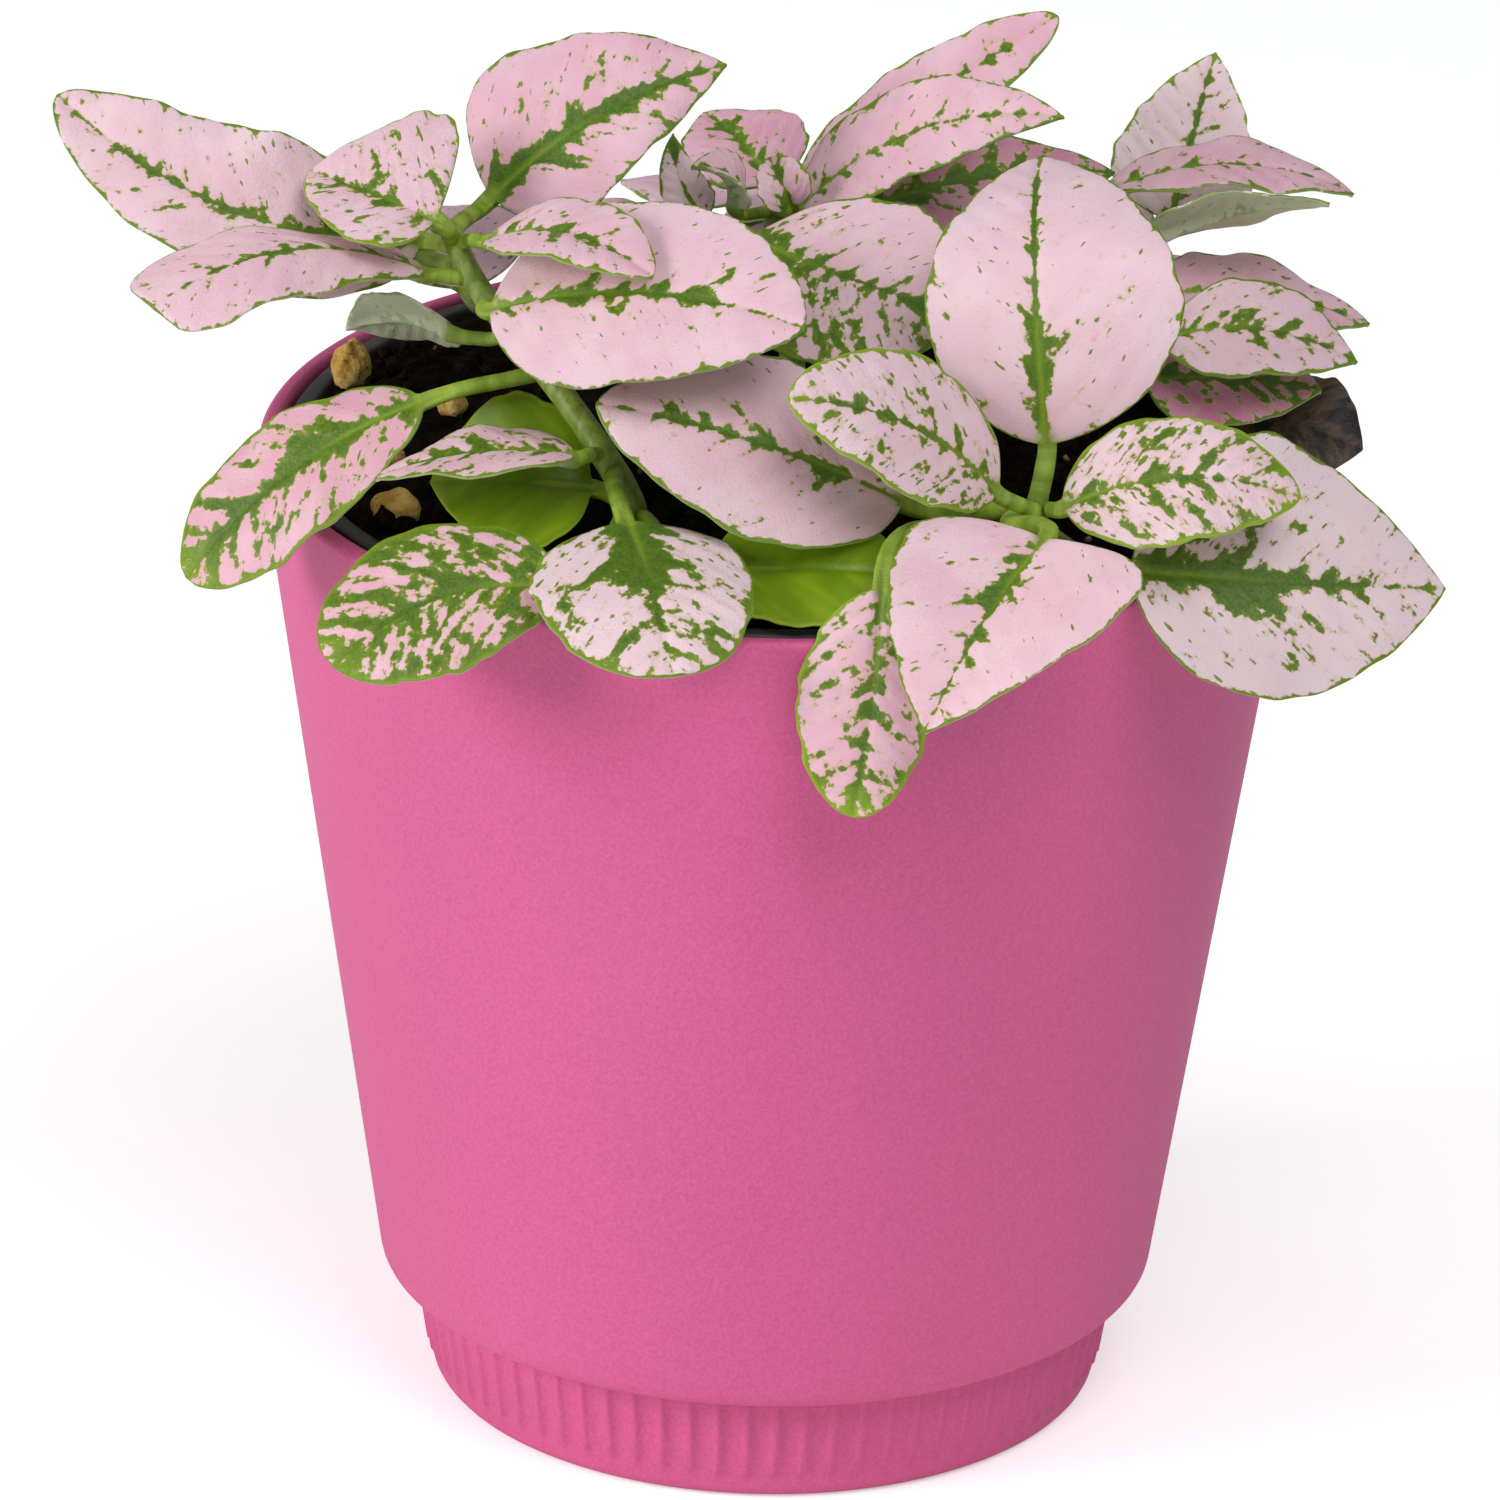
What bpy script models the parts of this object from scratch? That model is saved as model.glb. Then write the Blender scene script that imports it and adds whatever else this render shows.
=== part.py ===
"""Potted polka dot plant: pink cover pot, dark liner, peat, four shoots and their leaves.

Every piece is its own named object. Lengths are written in millimetres and turned into
metres when a mesh is made. +Z is up, +X is to the right and -Y faces the viewer.
"""
import math
from collections import namedtuple

import bmesh
import bpy
import numpy as np
from mathutils import Matrix

MM = 0.001

# cover pot, seen to be 110 mm wide at the rim and 106 mm high
RIM_RADIUS = 55.0
POT_HEIGHT = 106.0
POT_WALL = 2.1
RIM_ROUND = 0.6
SHOULDER_RADIUS = 41.4
SHOULDER_HEIGHT = 15.2
STEP_RADIUS = 39.0
STEP_HEIGHT = 13.0
FOOT_TOP_RADIUS = 37.5
FOOT_BASE_RADIUS = 35.4
FOOT_FILLET = 2.5
RIB_COUNT = 76
RIB_WIDTH = 1.0
RIB_PROUD = 0.4
RIB_LOW = 3.1
RIB_HIGH = 13.3
POT_FLOOR = 3.0

# grown-in liner that carries the soil
LINER_RIM_RADIUS = 52.2
LINER_LIP = 2.0
LINER_WALL = 1.0
LINER_LIP_DEPTH = 3.0
LINER_BASE_RADIUS = 32.5
LINER_BASE = 3.3
LINER_STEPS = 40
GAP = 0.3

SOIL_STEPS = 40

LEAF_THICK = 0.75
LEAF_ROWS = 9
STALK_ROWS = 3
STALK_RISE = 0.35
LEAF_TIP_HALF = 0.4
LEAF_FOOT_HALF = 0.95
KEEL = 0.45
STEM_POINTS = 8
HOLE_CLEARANCE = 0.35

# shoot: radius at the soil, radius at the crown, axis points
STEMS = {
    "a": (1.5, 1.1, [(-15, -34, 92), (-15, -34, 110.6), (-18.5, -33, 118),
                     (-25, -26, 124.5), (-31.5, -19, 130), (-35, -15.5, 136)]),
    "b": (1.5, 1.1, [(1, 2, 92), (1, 2, 112), (0, 4.5, 122), (-1.5, 6, 130)]),
    "c": (1.5, 1.2, [(22.5, -27, 92), (22.5, -27, 109.8), (25, -34, 112.2), (26.5, -38.3, 114)]),
    "d": (1.5, 1.1, [(33.5, 9, 92), (33.5, 9, 111), (35.5, 8.5, 122), (35.5, 10, 128)]),
    "f": (1.5, 1.1, [(-12, 27, 92), (-12, 27, 112), (-11.5, 28, 120)]),
}

# shoot, height where its stalk leaves the stem, blade foot, blade tip, direction that the
# upper side faces, width, arch and sideways bow as parts of the length, fold in degrees,
# curl of the edges, place of the widest line, how much wider the left half is, edge wave
# in mm, waves along the blade, and how pointed the tip is, where it isn't the usual 0.9
Leaf = namedtuple("Leaf", "shoot height foot tip face width arch bow fold curl widest skew "
                          "wave waves point", defaults=[0.9])

LEAVES = {
    "a1": ("a", 133.5, (-38, -10, 131.5), (-75.5, -9, 146.5), (-0.2, -0.7, 0.7),
           17, 0.06, -0.13, 10, 0.1, 0.38, 0.1, 0.9, 2.5, 0.55),
    "a2": ("a", 131.0, (-37, -18, 131.5), (-64.5, -31.5, 132), (0, -0.15, 1),
           15.5, 0.12, 0.04, -6, 0.1, 0.78, 0.1, 0.5, 2.0, 0.2),
    "a3": ("a", 134.2, (-36, -19.5, 137.6), (-49, -12.5, 140), (0.1, -0.5, 0.85),
           20, 0.06, -0.04, 14, 0.1, 0.3, 0.25, 0.4, 2.0, 0.6),
    "a4": ("a", 135.0, (-30.5, -7, 135.5), (-6.5, 0, 148), (-0.35, -0.75, 0.6),
           20, 0.1, -0.03, 10, 0.15, 0.28, -0.16, 0.6, 2.0),
    "a5": ("a", 133.5, (-30.5, -20.5, 136), (-13.5, -33, 137), (0.1, -0.35, 0.95),
           12, 0.12, -0.03, 12, 0.1, 0.45, 0.0, 0.3, 2.0, 0.65),
    "a6": ("a", 128.0, (-30, -26, 130.5), (2, -40, 134.5), (0, -0.55, 0.85),
           25, 0.05, -0.05, 6, 0.1, 0.42, 0.0, 0.4, 2.0, 0.65),
    "a7": ("a", 124.0, (-37, -28, 121), (-61, -31, 102), (-0.25, -0.55, 0.8),
           15.5, 0.08, 0.03, 5, 0.12, 0.6, -0.08, 0.5, 2.5, 0.5),
    "a8": ("a", 127.0, (-34, -15.5, 124), (-45.5, -8, 121), (0, 0.8, 0.6),
           12, 0.10, 0.0, 5, 0.10, 0.42, 0.0, 0.3, 2.0),
    "e1": ("a", 117.5, (-21, -37, 119), (-41.5, -36, 115.5), (0, 0.02, 1),
           14, 0.08, -0.03, 8, 0.10, 0.42, 0.0, 0.4, 2.0),
    "e2": ("a", 111.5, (-22, -50, 109.5), (-45, -54, 102), (-0.1, -0.5, 0.85),
           19, 0.06, 0.12, 4, 0.1, 0.55, 0.0, 0.3, 2.0, 0.45),
    "e3": ("a", 115.5, (-15.5, -43, 114), (-10.5, -64, 106), (0.05, -0.3, 0.9),
           23, 0.08, 0.0, 4, 0.14, 0.45, 0.06, 0.4, 2.0, 0.4),
    "b1": ("b", 128.0, (1.5, 4, 131), (28.5, -4, 144.5), (-0.2, -0.55, 0.8),
           12.5, 0.08, -0.08, 10, 0.10, 0.42, 0.0, 0.4, 2.5),
    "b2": ("b", 126.5, (1.5, 12, 131), (28, 14, 149), (-0.3, -0.75, 0.6),
           9.5, 0.05, 0.02, 8, 0.1, 0.5, 0.0, 0.4, 3.0, 0.55),
    "b3": ("b", 125.5, (-3.5, -6, 131), (18.5, -26, 130.5), (0.05, -0.72, 0.7),
           21.5, 0.08, 0.05, 4, 0.12, 0.58, 0.0, 0.3, 2.0, 0.6),
    "b4": ("b", 125.0, (-1.5, 17, 128.5), (-9, 27, 132.5), (0, -0.3, 0.9),
           15, 0.08, 0.0, 6, 0.1, 0.42, 0.0, 0.3, 2.0),
    "b5": ("b", 124.0, (3.5, 8, 127.5), (34.5, 17, 130.5), (0, -0.4, 0.9),
           16, 0.08, 0.0, 6, 0.1, 0.42, 0.0, 0.4, 2.5),
    "b6": ("b", 126.5, (-8.5, 3, 129.5), (-12, 6, 138), (0.1, -0.9, 0.3),
           5.5, 0.05, -0.1, 10, 0.1, 0.25, 0.0, 0.2, 2.0),
    "b7": ("b", 129.5, (-5, 1, 132), (-10, -1, 137), (0.3, -0.2, 0.9),
           7, 0.25, 0.0, 30, 0.10, 0.42, 0.0, 0.0, 2.0),
    "b8": ("b", 129.5, (0.5, 0, 132.5), (-2, 2, 137), (0, -0.8, 0.5),
           7, 0.25, 0.0, 35, 0.10, 0.42, 0.0, 0.0, 2.0),
    "c1": ("c", 113.4, (27, -35, 120.5), (26.2, -12, 143), (-0.1, -0.9, 0.42),
           26.5, 0.33, 0.0, 4, 0.06, 0.34, 0.14, 0.4, 2.5),
    "c2": ("c", 113.9, (22.0, -39.6, 117.0), (0.5, -46.8, 129.5), (-0.1, -0.6, 0.8),
           16.5, 0.1, 0.05, 10, 0.12, 0.45, 0.0, 0.4, 2.0, 0.6),
    "c3": ("c", 113.3, (28.9, -40.6, 115.8), (53, -41, 117.5), (0.1, -0.6, 0.8),
           15.5, 0.12, -0.05, 4, 0.12, 0.42, 0.0, 0.3, 2.0, 0.65),
    "c4": ("c", 112.1, (26.8, -49, 115.6), (15, -70, 103), (-0.22, -0.5, 0.85),
           28.5, 0.06, 0.0, 20, 0.1, 0.26, -0.12, 0.3, 2.0),
    "c5": ("c", 111.0, (36, -42, 109.5), (68.5, -33, 104.5), (0, -0.75, 0.66),
           29, 0.04, 0.02, 4, 0.1, 0.42, -0.12, 0.4, 3.0),
    "c6": ("c", 111.4, (12.5, -38, 115), (-19, -38, 125), (0, -0.5, 0.85),
           23, 0.06, 0.0, 4, 0.1, 0.45, 0.0, 0.3, 2.0, 0.7),
    "c7": ("c", 110.3, (10.5, -53, 111.5), (8, -63, 90.5), (-0.1, -0.9, 0.4),
           14, 0.04, -0.02, 5, 0.1, 0.5, 0.1, 0.5, 2.5, 0.5),
    "d1": ("d", 127.0, (40.5, 19, 124.5), (45, 27, 140.5), (-0.1, -0.85, 0.5),
           15.5, 0.04, 0.0, 10, 0.05, 0.27, 0.0, 0.3, 2.0),
    "d2": ("d", 127.4, (33.5, 8, 132), (59.5, 12, 130.5), (0, -0.1, 1),
           11.5, 0.12, 0.0, 8, 0.10, 0.60, 0.0, 0.4, 2.5),
    "d3": ("d", 125.5, (38, 5.5, 127.8), (56.5, 0, 134), (0, 0.55, 0.8),
           12, 0.06, 0.0, 8, 0.10, 0.42, 0.0, 0.3, 2.0),
    "d4": ("d", 121.0, (38.5, 3, 122.5), (61.5, 8, 117.5), (0, -0.15, 1),
           17, 0.06, 0.0, 8, 0.10, 0.42, 0.0, 0.5, 2.5),
    "d5": ("d", 118.0, (39.5, -10, 122.5), (59.5, -12, 121), (0, -0.35, 0.9),
           15.5, 0.14, 0.0, 8, 0.1, 0.42, 0.0, 0.4, 2.0),
    "d6": ("d", 114.0, (38, -8, 117), (56, -10, 117), (0, -0.3, 0.95),
           17, 0.05, 0.0, 6, 0.10, 0.42, 0.0, 0.3, 2.0),
    "d7": ("d", 112.0, (47, -6, 113), (60.5, -10, 110.5), (0, -0.6, 0.8),
           13, 0.08, 0.0, 6, 0.10, 0.62, 0.0, 0.3, 2.0),
    "f1": ("a", 131.5, (-38, -6, 129), (-58, 8, 122), (-0.1, 0.1, 1),
           18, 0.10, 0.0, 6, 0.10, 0.42, 0.0, 0.4, 2.0),
    "f2": ("a", 129.0, (-33, -6, 125), (-42, 22, 122), (-0.1, 0.2, 1),
           19, 0.10, 0.0, 6, 0.10, 0.42, 0.0, 0.4, 2.0),
    "f3": ("f", 118.6, (-17.5, 26.5, 119), (-41, 37, 113), (-0.1, 0.3, 1),
           20, 0.10, 0.0, 6, 0.10, 0.42, 0.0, 0.4, 2.0),
    "f4": ("f", 118.4, (-10, 34, 119), (-4, 61, 109), (0, 0.3, 1),
           21, 0.10, 0.0, 6, 0.10, 0.42, 0.0, 0.4, 2.0),
    "f5": ("d", 122.0, (32, 18, 121), (25, 46, 114), (0, 0.3, 1),
           20, 0.10, 0.0, 6, 0.10, 0.42, 0.0, 0.4, 2.0),
    "f6": ("d", 119.0, (42, 16, 117), (56, 33, 109), (0.2, 0.2, 1),
           18, 0.10, 0.0, 6, 0.10, 0.42, 0.0, 0.4, 2.0),
    "f7": ("f", 119.3, (-6.5, 25, 121), (14, 30, 119), (0, 0.2, 1),
           15, 0.10, 0.0, 8, 0.10, 0.42, 0.0, 0.3, 2.0),
    "f8": ("f", 114.5, (-17, 35, 114), (-33, 58, 106.5), (-0.2, 0.4, 1),
           19, 0.10, 0.0, 6, 0.10, 0.42, 0.0, 0.4, 2.0),
    "f9": ("f", 114.0, (-3, 34, 114), (14, 59, 107), (0.2, 0.4, 1),
           19, 0.10, 0.0, 6, 0.10, 0.42, 0.0, 0.4, 2.0),
    "f10": ("d", 112.5, (34.5, 21, 113), (37, 51, 107.5), (0.1, 0.4, 1),
            19, 0.10, 0.0, 6, 0.10, 0.42, 0.0, 0.4, 2.0),
}

# plain round seed leaves at the lowest node of shoot a, same columns
SEED_LEAVES = {
    "seed_leaf_1": ("a", 112.0, (-19.5, -30.5, 112.7), (-36, -30.5, 113), (-0.1, -0.62, 0.78),
                    19, 0.04, 0.0, 8, -0.10, 0.50, 0.0, 0.0, 2.0),
    "seed_leaf_2": ("a", 111.0, (-7, -44.5, 109.4), (14, -45, 109.4), (0.05, -0.45, 0.85),
                    17, 0.04, 0.0, 5, -0.05, 0.50, 0.0, 0.0, 2.0),
}

# grit on the soil: centre, half sizes, turn in degrees
GRAINS = {
    "grain_1": ((-45.6, 13.0, 108.4), (2.3, 2.0, 3.2), 10),
    "grain_2": ((-34.5, -0.5, 109.6), (1.8, 1.6, 1.5), 40),
    "grain_3": ((-39.6, -24.0, 107.3), (3.0, 2.2, 2.3), -15),
    "grain_4": ((-26.0, 12.0, 110.0), (1.6, 2.1, 1.4), 25),
    "grain_5": ((12.0, -14.0, 110.6), (1.7, 1.4, 1.2), 60),
}


# plant geometry

def unit(v):
    """The direction of a vector."""
    v = np.asarray(v, float)
    return v / np.linalg.norm(v)


def bezier(points, t):
    """A point on a cubic curve."""
    a, b, c, d = (np.asarray(p, float) for p in points)
    s = 1.0 - t
    return a * s**3 + 3 * b * s * s * t + 3 * c * s * t * t + d * t**3


def stem_axis(name, z):
    """Where the stem's axis is at a height, on a smooth line through its points."""
    points = np.array(STEMS[name][2], float)
    heights = points[:, 2]
    z = min(max(z, heights[0]), heights[-1])
    k = min(int(np.searchsorted(heights, z, side="right")) - 1, len(points) - 2)
    slopes = np.diff(points, axis=0) / np.diff(heights)[:, None]
    ends = [slopes[0] if j == 0 else slopes[-1] if j == len(slopes) else
            (slopes[j - 1] + slopes[j]) / 2 * (j > 1) for j in (k, k + 1)]
    if k == 0:
        ends = [slopes[0], slopes[0]]
    step = heights[k + 1] - heights[k]
    third = step / 3
    curve = [points[k], points[k] + ends[0] * third, points[k + 1] - ends[1] * third,
             points[k + 1]]
    spot = bezier(curve, (z - heights[k]) / step)
    return np.array([spot[0], spot[1], z])


def stem_radius(name, z):
    """How thick the stem is at a height."""
    low, high, points = STEMS[name]
    return float(np.interp(z, [106.0, points[-1][2]], [low, high]))


def leaf_width(u, widest, point):
    """Half width of a leaf, 1 at its widest line."""
    if u < widest:
        return max(1.0 - (1.0 - u / widest) ** 2, 0.0) ** 0.55
    t = (u - widest) / (1.0 - widest)
    return max(1.0 - t**1.7, 0.0) ** point


def blade_frame(leaf, u):
    """Midrib point, direction, side and face of a leaf at u from foot to tip."""
    foot, tip = np.array(leaf.foot, float), np.array(leaf.tip, float)
    chord = tip - foot
    length = np.linalg.norm(chord)
    along = chord / length
    face = np.array(leaf.face, float)
    face = unit(face - (face @ along) * along)
    side = np.cross(along, face)
    lift = (face * leaf.arch + side * leaf.bow) * length
    forward = unit(chord + lift * 4 * (1 - 2 * u))
    face = unit(face - (face @ forward) * forward)
    return foot + chord * u + lift * 4 * u * (1 - u), forward, np.cross(forward, face), face


def blade_section(leaf, u):
    """Ten points round one cut through the blade: top from left to right, then underside."""
    middle, _forward, side, face = blade_frame(leaf, u)
    half = leaf.width / 2 * leaf_width(u, leaf.widest, leaf.point)
    half = max(half, LEAF_TIP_HALF if u > 0.5 else LEAF_FOOT_HALF)
    fold = math.radians(leaf.fold)
    top, under = [], []
    for v in (-1.0, -0.5, 0.0, 0.5, 1.0):
        reach = half * (1 + leaf.skew * np.sign(v))
        ripple = math.sin(2 * math.pi * leaf.waves * u + v) * math.sin(math.pi * u)
        height = reach * (abs(v) * math.sin(fold) - leaf.curl * v * v)
        spot = middle + side * reach * v * math.cos(fold)
        spot = spot + face * (height + leaf.wave * v * v * ripple)
        drop = LEAF_THICK + (KEEL * (1 - 0.7 * u) if v == 0 else 0.0)
        top.append(spot + face * LEAF_THICK / 2)
        under.append(spot + face * (LEAF_THICK / 2 - drop))
    return top + under[::-1]


def stalk_section(middle, side, face, radius):
    """Ten points round the stalk, in the same order as a blade section."""
    angles = [math.radians(162 - 36 * step) for step in range(10)]
    return [middle + side * radius * math.cos(a) + face * radius * math.sin(a)
            for a in angles]


def stalk_radius(leaf):
    """A broad leaf stands on a thicker stalk."""
    return 0.5 + 0.023 * leaf.width


def stalk_root(leaf):
    """Where the stalk leaves the stem and which way it sets out."""
    axis = stem_axis(leaf.shoot, leaf.height)
    above = stem_axis(leaf.shoot, leaf.height + 0.5)
    below = stem_axis(leaf.shoot, leaf.height - 0.5)
    forward = unit(above - below)
    out = np.array(leaf.foot, float) - axis
    out = unit(out - (out @ forward) * forward)
    reach = stem_radius(leaf.shoot, leaf.height) + GAP + STALK_RISE * stalk_radius(leaf)
    out = unit(out + STALK_RISE * forward)
    return axis + out * reach, out


def leaf_rings(leaf):
    """All the cuts through a leaf, from the stalk's foot to the blade's tip."""
    root, out = stalk_root(leaf)
    foot, along, _side, face = blade_frame(leaf, 0.0)
    reach = np.linalg.norm(foot - root)
    path = [root, root + out * reach * 0.35, foot - along * reach * 0.35, foot]
    rings, up = [], face
    for step in reversed(range(STALK_ROWS)):
        t = step / STALK_ROWS
        forward = unit(bezier(path, t + 0.02) - bezier(path, max(t - 0.02, 0.0)))
        up = unit(up - (up @ forward) * forward)
        rings.insert(0, stalk_section(bezier(path, t), np.cross(forward, up), up,
                                      stalk_radius(leaf)))
    steps = np.linspace(0.0, 1.0, LEAF_ROWS)
    return rings + [blade_section(leaf, u) for u in (2 * steps + 1 - np.cos(np.pi * steps)) / 4]


# building blocks

def material(name, colour, roughness, metallic=0.0):
    """A plain surface colour for the CAD model."""
    item = bpy.data.materials.new(name)
    item.use_nodes = True
    shader = item.node_tree.nodes["Principled BSDF"]
    shader.inputs["Base Color"].default_value = (*colour, 1.0)
    shader.inputs["Roughness"].default_value = roughness
    shader.inputs["Metallic"].default_value = metallic
    item.diffuse_color = (*colour, 1.0)
    return item


def collection(name):
    """A new collection in the scene."""
    group = bpy.data.collections.new(name)
    bpy.context.scene.collection.children.link(group)
    return group


def add(name, data, group, surface=None):
    """Put mesh or curve data in the scene as an object."""
    item = bpy.data.objects.new(name, data)
    group.objects.link(item)
    if surface:
        data.materials.append(surface)
    return item


def add_bmesh(name, work, group, surface=None, smooth=False):
    """Turn a bmesh into an object."""
    mesh = bpy.data.meshes.new(name)
    bmesh.ops.recalc_face_normals(work, faces=work.faces)
    for face in work.faces:
        face.smooth = smooth
    work.to_mesh(mesh)
    work.free()
    return add(name, mesh, group, surface)


def turned(name, profile, steps, group, surface):
    """A body of revolution from (radius, height) pairs, drawn down the outer side."""
    mesh = bpy.data.meshes.new(name)
    mesh.from_pydata([(r * MM, 0.0, z * MM) for r, z in profile],
                     [(k, k + 1) for k in range(len(profile) - 1)], [])
    item = add(name, mesh, group, surface)
    screw = item.modifiers.new("Turn", "SCREW")
    screw.axis = "Z"
    screw.steps = screw.render_steps = steps
    screw.use_merge_vertices = True
    screw.merge_threshold = 0.00001
    screw.use_normal_calculate = True
    screw.use_smooth_shade = True
    return item


def boolean(body, tool, operation):
    """Join a hidden shape to a body, or take it out of the body."""
    tool.hide_render = True
    tool.display_type = "WIRE"
    step = body.modifiers.new(tool.name, "BOOLEAN")
    step.operation = operation
    step.solver = "EXACT"
    step.object = tool


# pots and soil

def cover_pot(group, cutters, surface):
    """Tapered pot with a rounded shoulder over a ribbed, recessed foot."""
    profile = [
        (0.0, POT_FLOOR), (FOOT_BASE_RADIUS - 1.0, POT_FLOOR),
        (FOOT_TOP_RADIUS - POT_WALL, STEP_HEIGHT - 0.5),
        (SHOULDER_RADIUS - POT_WALL, SHOULDER_HEIGHT),
        (RIM_RADIUS - POT_WALL, POT_HEIGHT - RIM_ROUND),
        (RIM_RADIUS - POT_WALL + RIM_ROUND, POT_HEIGHT),
        (RIM_RADIUS - RIM_ROUND, POT_HEIGHT), (RIM_RADIUS - 0.1, POT_HEIGHT - RIM_ROUND),
        (SHOULDER_RADIUS, SHOULDER_HEIGHT), (SHOULDER_RADIUS - 0.25, SHOULDER_HEIGHT - 0.9),
        (STEP_RADIUS + 0.9, STEP_HEIGHT + 0.45), (STEP_RADIUS, STEP_HEIGHT),
        (FOOT_TOP_RADIUS, STEP_HEIGHT), (FOOT_BASE_RADIUS, FOOT_FILLET),
        (FOOT_BASE_RADIUS - FOOT_FILLET * 0.29, FOOT_FILLET * 0.29),
        (FOOT_BASE_RADIUS - FOOT_FILLET, 0.0), (0.0, 0.0),
    ]
    pot = turned("cover_pot", profile, RIB_COUNT, group, surface)
    boolean(pot, foot_ribs(cutters), "UNION")
    return pot


def foot_ribs(cutters):
    """The ring of fine upright ribs, one in the middle of each facet of the foot."""
    rise = STEP_HEIGHT - FOOT_FILLET
    lean = math.atan2(FOOT_TOP_RADIUS - FOOT_BASE_RADIUS, rise)
    middle = (RIB_LOW + RIB_HIGH) / 2
    radius = FOOT_BASE_RADIUS + math.tan(lean) * (middle - FOOT_FILLET)
    depth = RIB_PROUD + 0.6
    work = bmesh.new()
    for k in range(RIB_COUNT):
        turn = Matrix.Rotation(2 * math.pi * (k + 0.5) / RIB_COUNT, 4, "Z")
        place = Matrix.Translation(((radius + RIB_PROUD - depth / 2) * MM, 0.0, middle * MM))
        tilt = Matrix.Rotation(lean, 4, "Y")
        size = Matrix.Diagonal((depth * MM, RIB_WIDTH * MM, (RIB_HIGH - RIB_LOW) * MM, 1.0))
        bmesh.ops.create_cube(work, size=1.0, matrix=turn @ place @ tilt @ size)
    return add_bmesh("foot_ribs", work, cutters)


def nursery_pot(group, surface):
    """Thin liner: a lip just inside the pink rim and a tapered wall down to the pot's floor."""
    top = POT_HEIGHT - 0.2
    under = top - LINER_LIP_DEPTH
    wall_top = LINER_RIM_RADIUS - 0.6
    slope = (wall_top - LINER_BASE_RADIUS) / (under - LINER_BASE)
    profile = [
        (0.0, LINER_BASE + 1.2), (LINER_BASE_RADIUS - LINER_WALL, LINER_BASE + 1.2),
        (wall_top - LINER_WALL - 1.0, under), (LINER_RIM_RADIUS - LINER_LIP, top - 1.0),
        (LINER_RIM_RADIUS - LINER_LIP, top), (LINER_RIM_RADIUS, top),
        (LINER_RIM_RADIUS, under + 0.6), (wall_top, under),
        (wall_top - slope * 0.6, under - 0.6), (LINER_BASE_RADIUS, LINER_BASE),
        (0.0, LINER_BASE),
    ]
    return turned("nursery_pot", profile, LINER_STEPS, group, surface)


def soil(group, cutters, surface):
    """Peat heaped a little above the rim, with plain holes for the stems."""
    base = LINER_BASE + 1.2 + GAP
    top_wall = LINER_RIM_RADIUS - 0.6 - LINER_WALL - 1.0
    under = POT_HEIGHT - 0.2 - LINER_LIP_DEPTH
    lip = LINER_RIM_RADIUS - LINER_LIP - 0.4
    profile = [
        (0.0, 110.4), (14.0, 110.2), (27.0, 109.4), (37.0, 108.6), (44.0, 107.4),
        (lip, 104.9), (lip, under + 1.0), (top_wall - 0.5, under - 0.4),
        (LINER_BASE_RADIUS - LINER_WALL - 0.5, base), (0.0, base),
    ]
    body = turned("soil", profile, SOIL_STEPS, group, surface)
    for name, (low_radius, _high, points) in STEMS.items():
        boolean(body, hole(name, low_radius + HOLE_CLEARANCE, points[0], cutters),
                "DIFFERENCE")
    for name, (middle, halves, turn) in GRAINS.items():
        dent = lump("dent_" + name, middle, [1.16 * (h + GAP) for h in halves], turn, 1,
                    cutters, None)
        boolean(body, dent, "DIFFERENCE")
    return body


def hole(name, radius, foot, cutters):
    """A plain round hole in the peat for one stem."""
    low, high = foot[2] - 0.5, 113.0
    work = bmesh.new()
    place = Matrix.Translation((foot[0] * MM, foot[1] * MM, (low + high) / 2 * MM))
    bmesh.ops.create_cone(work, cap_ends=True, segments=12, radius1=radius * MM,
                          radius2=radius * MM, depth=(high - low) * MM, matrix=place)
    return add_bmesh("hole_" + name, work, cutters)


def lump(name, middle, halves, turn, subdivisions, group, surface):
    """A grain: an icosphere pulled to its half sizes, a little rough where it shows."""
    work = bmesh.new()
    bmesh.ops.create_icosphere(work, subdivisions=subdivisions, radius=MM)
    if surface:
        for v in work.verts:
            x, y = v.co.x / MM, v.co.y / MM
            v.co *= 0.90 + 0.08 * math.sin(5.0 * x + turn) * math.cos(4.0 * y + 2.0)
    place = Matrix.Translation([c * MM for c in middle])
    spin = Matrix.Rotation(math.radians(turn), 4, "Z")
    bmesh.ops.transform(work, matrix=place @ spin @ Matrix.Diagonal((*halves, 1.0)),
                        verts=work.verts)
    return add_bmesh(name, work, group, surface)


# shoots

def stem(name, group, surface):
    """One shoot: a tapering bevelled curve along its axis."""
    low_radius, _high, points = STEMS[name]
    curve = bpy.data.curves.new("stem_" + name, "CURVE")
    curve.dimensions = "3D"
    curve.bevel_depth = low_radius * MM
    curve.bevel_resolution = 2
    curve.use_fill_caps = True
    heights = [points[0][2]] + list(np.linspace(points[1][2], points[-1][2], STEM_POINTS))
    spline = curve.splines.new("POLY")
    spline.points.add(len(heights) - 1)
    for point, z in zip(spline.points, heights):
        x, y, _z = stem_axis(name, z)
        point.co = (x * MM, y * MM, z * MM, 1.0)
        point.radius = stem_radius(name, z) / low_radius
    return add("stem_" + name, curve, group, surface)


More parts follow.
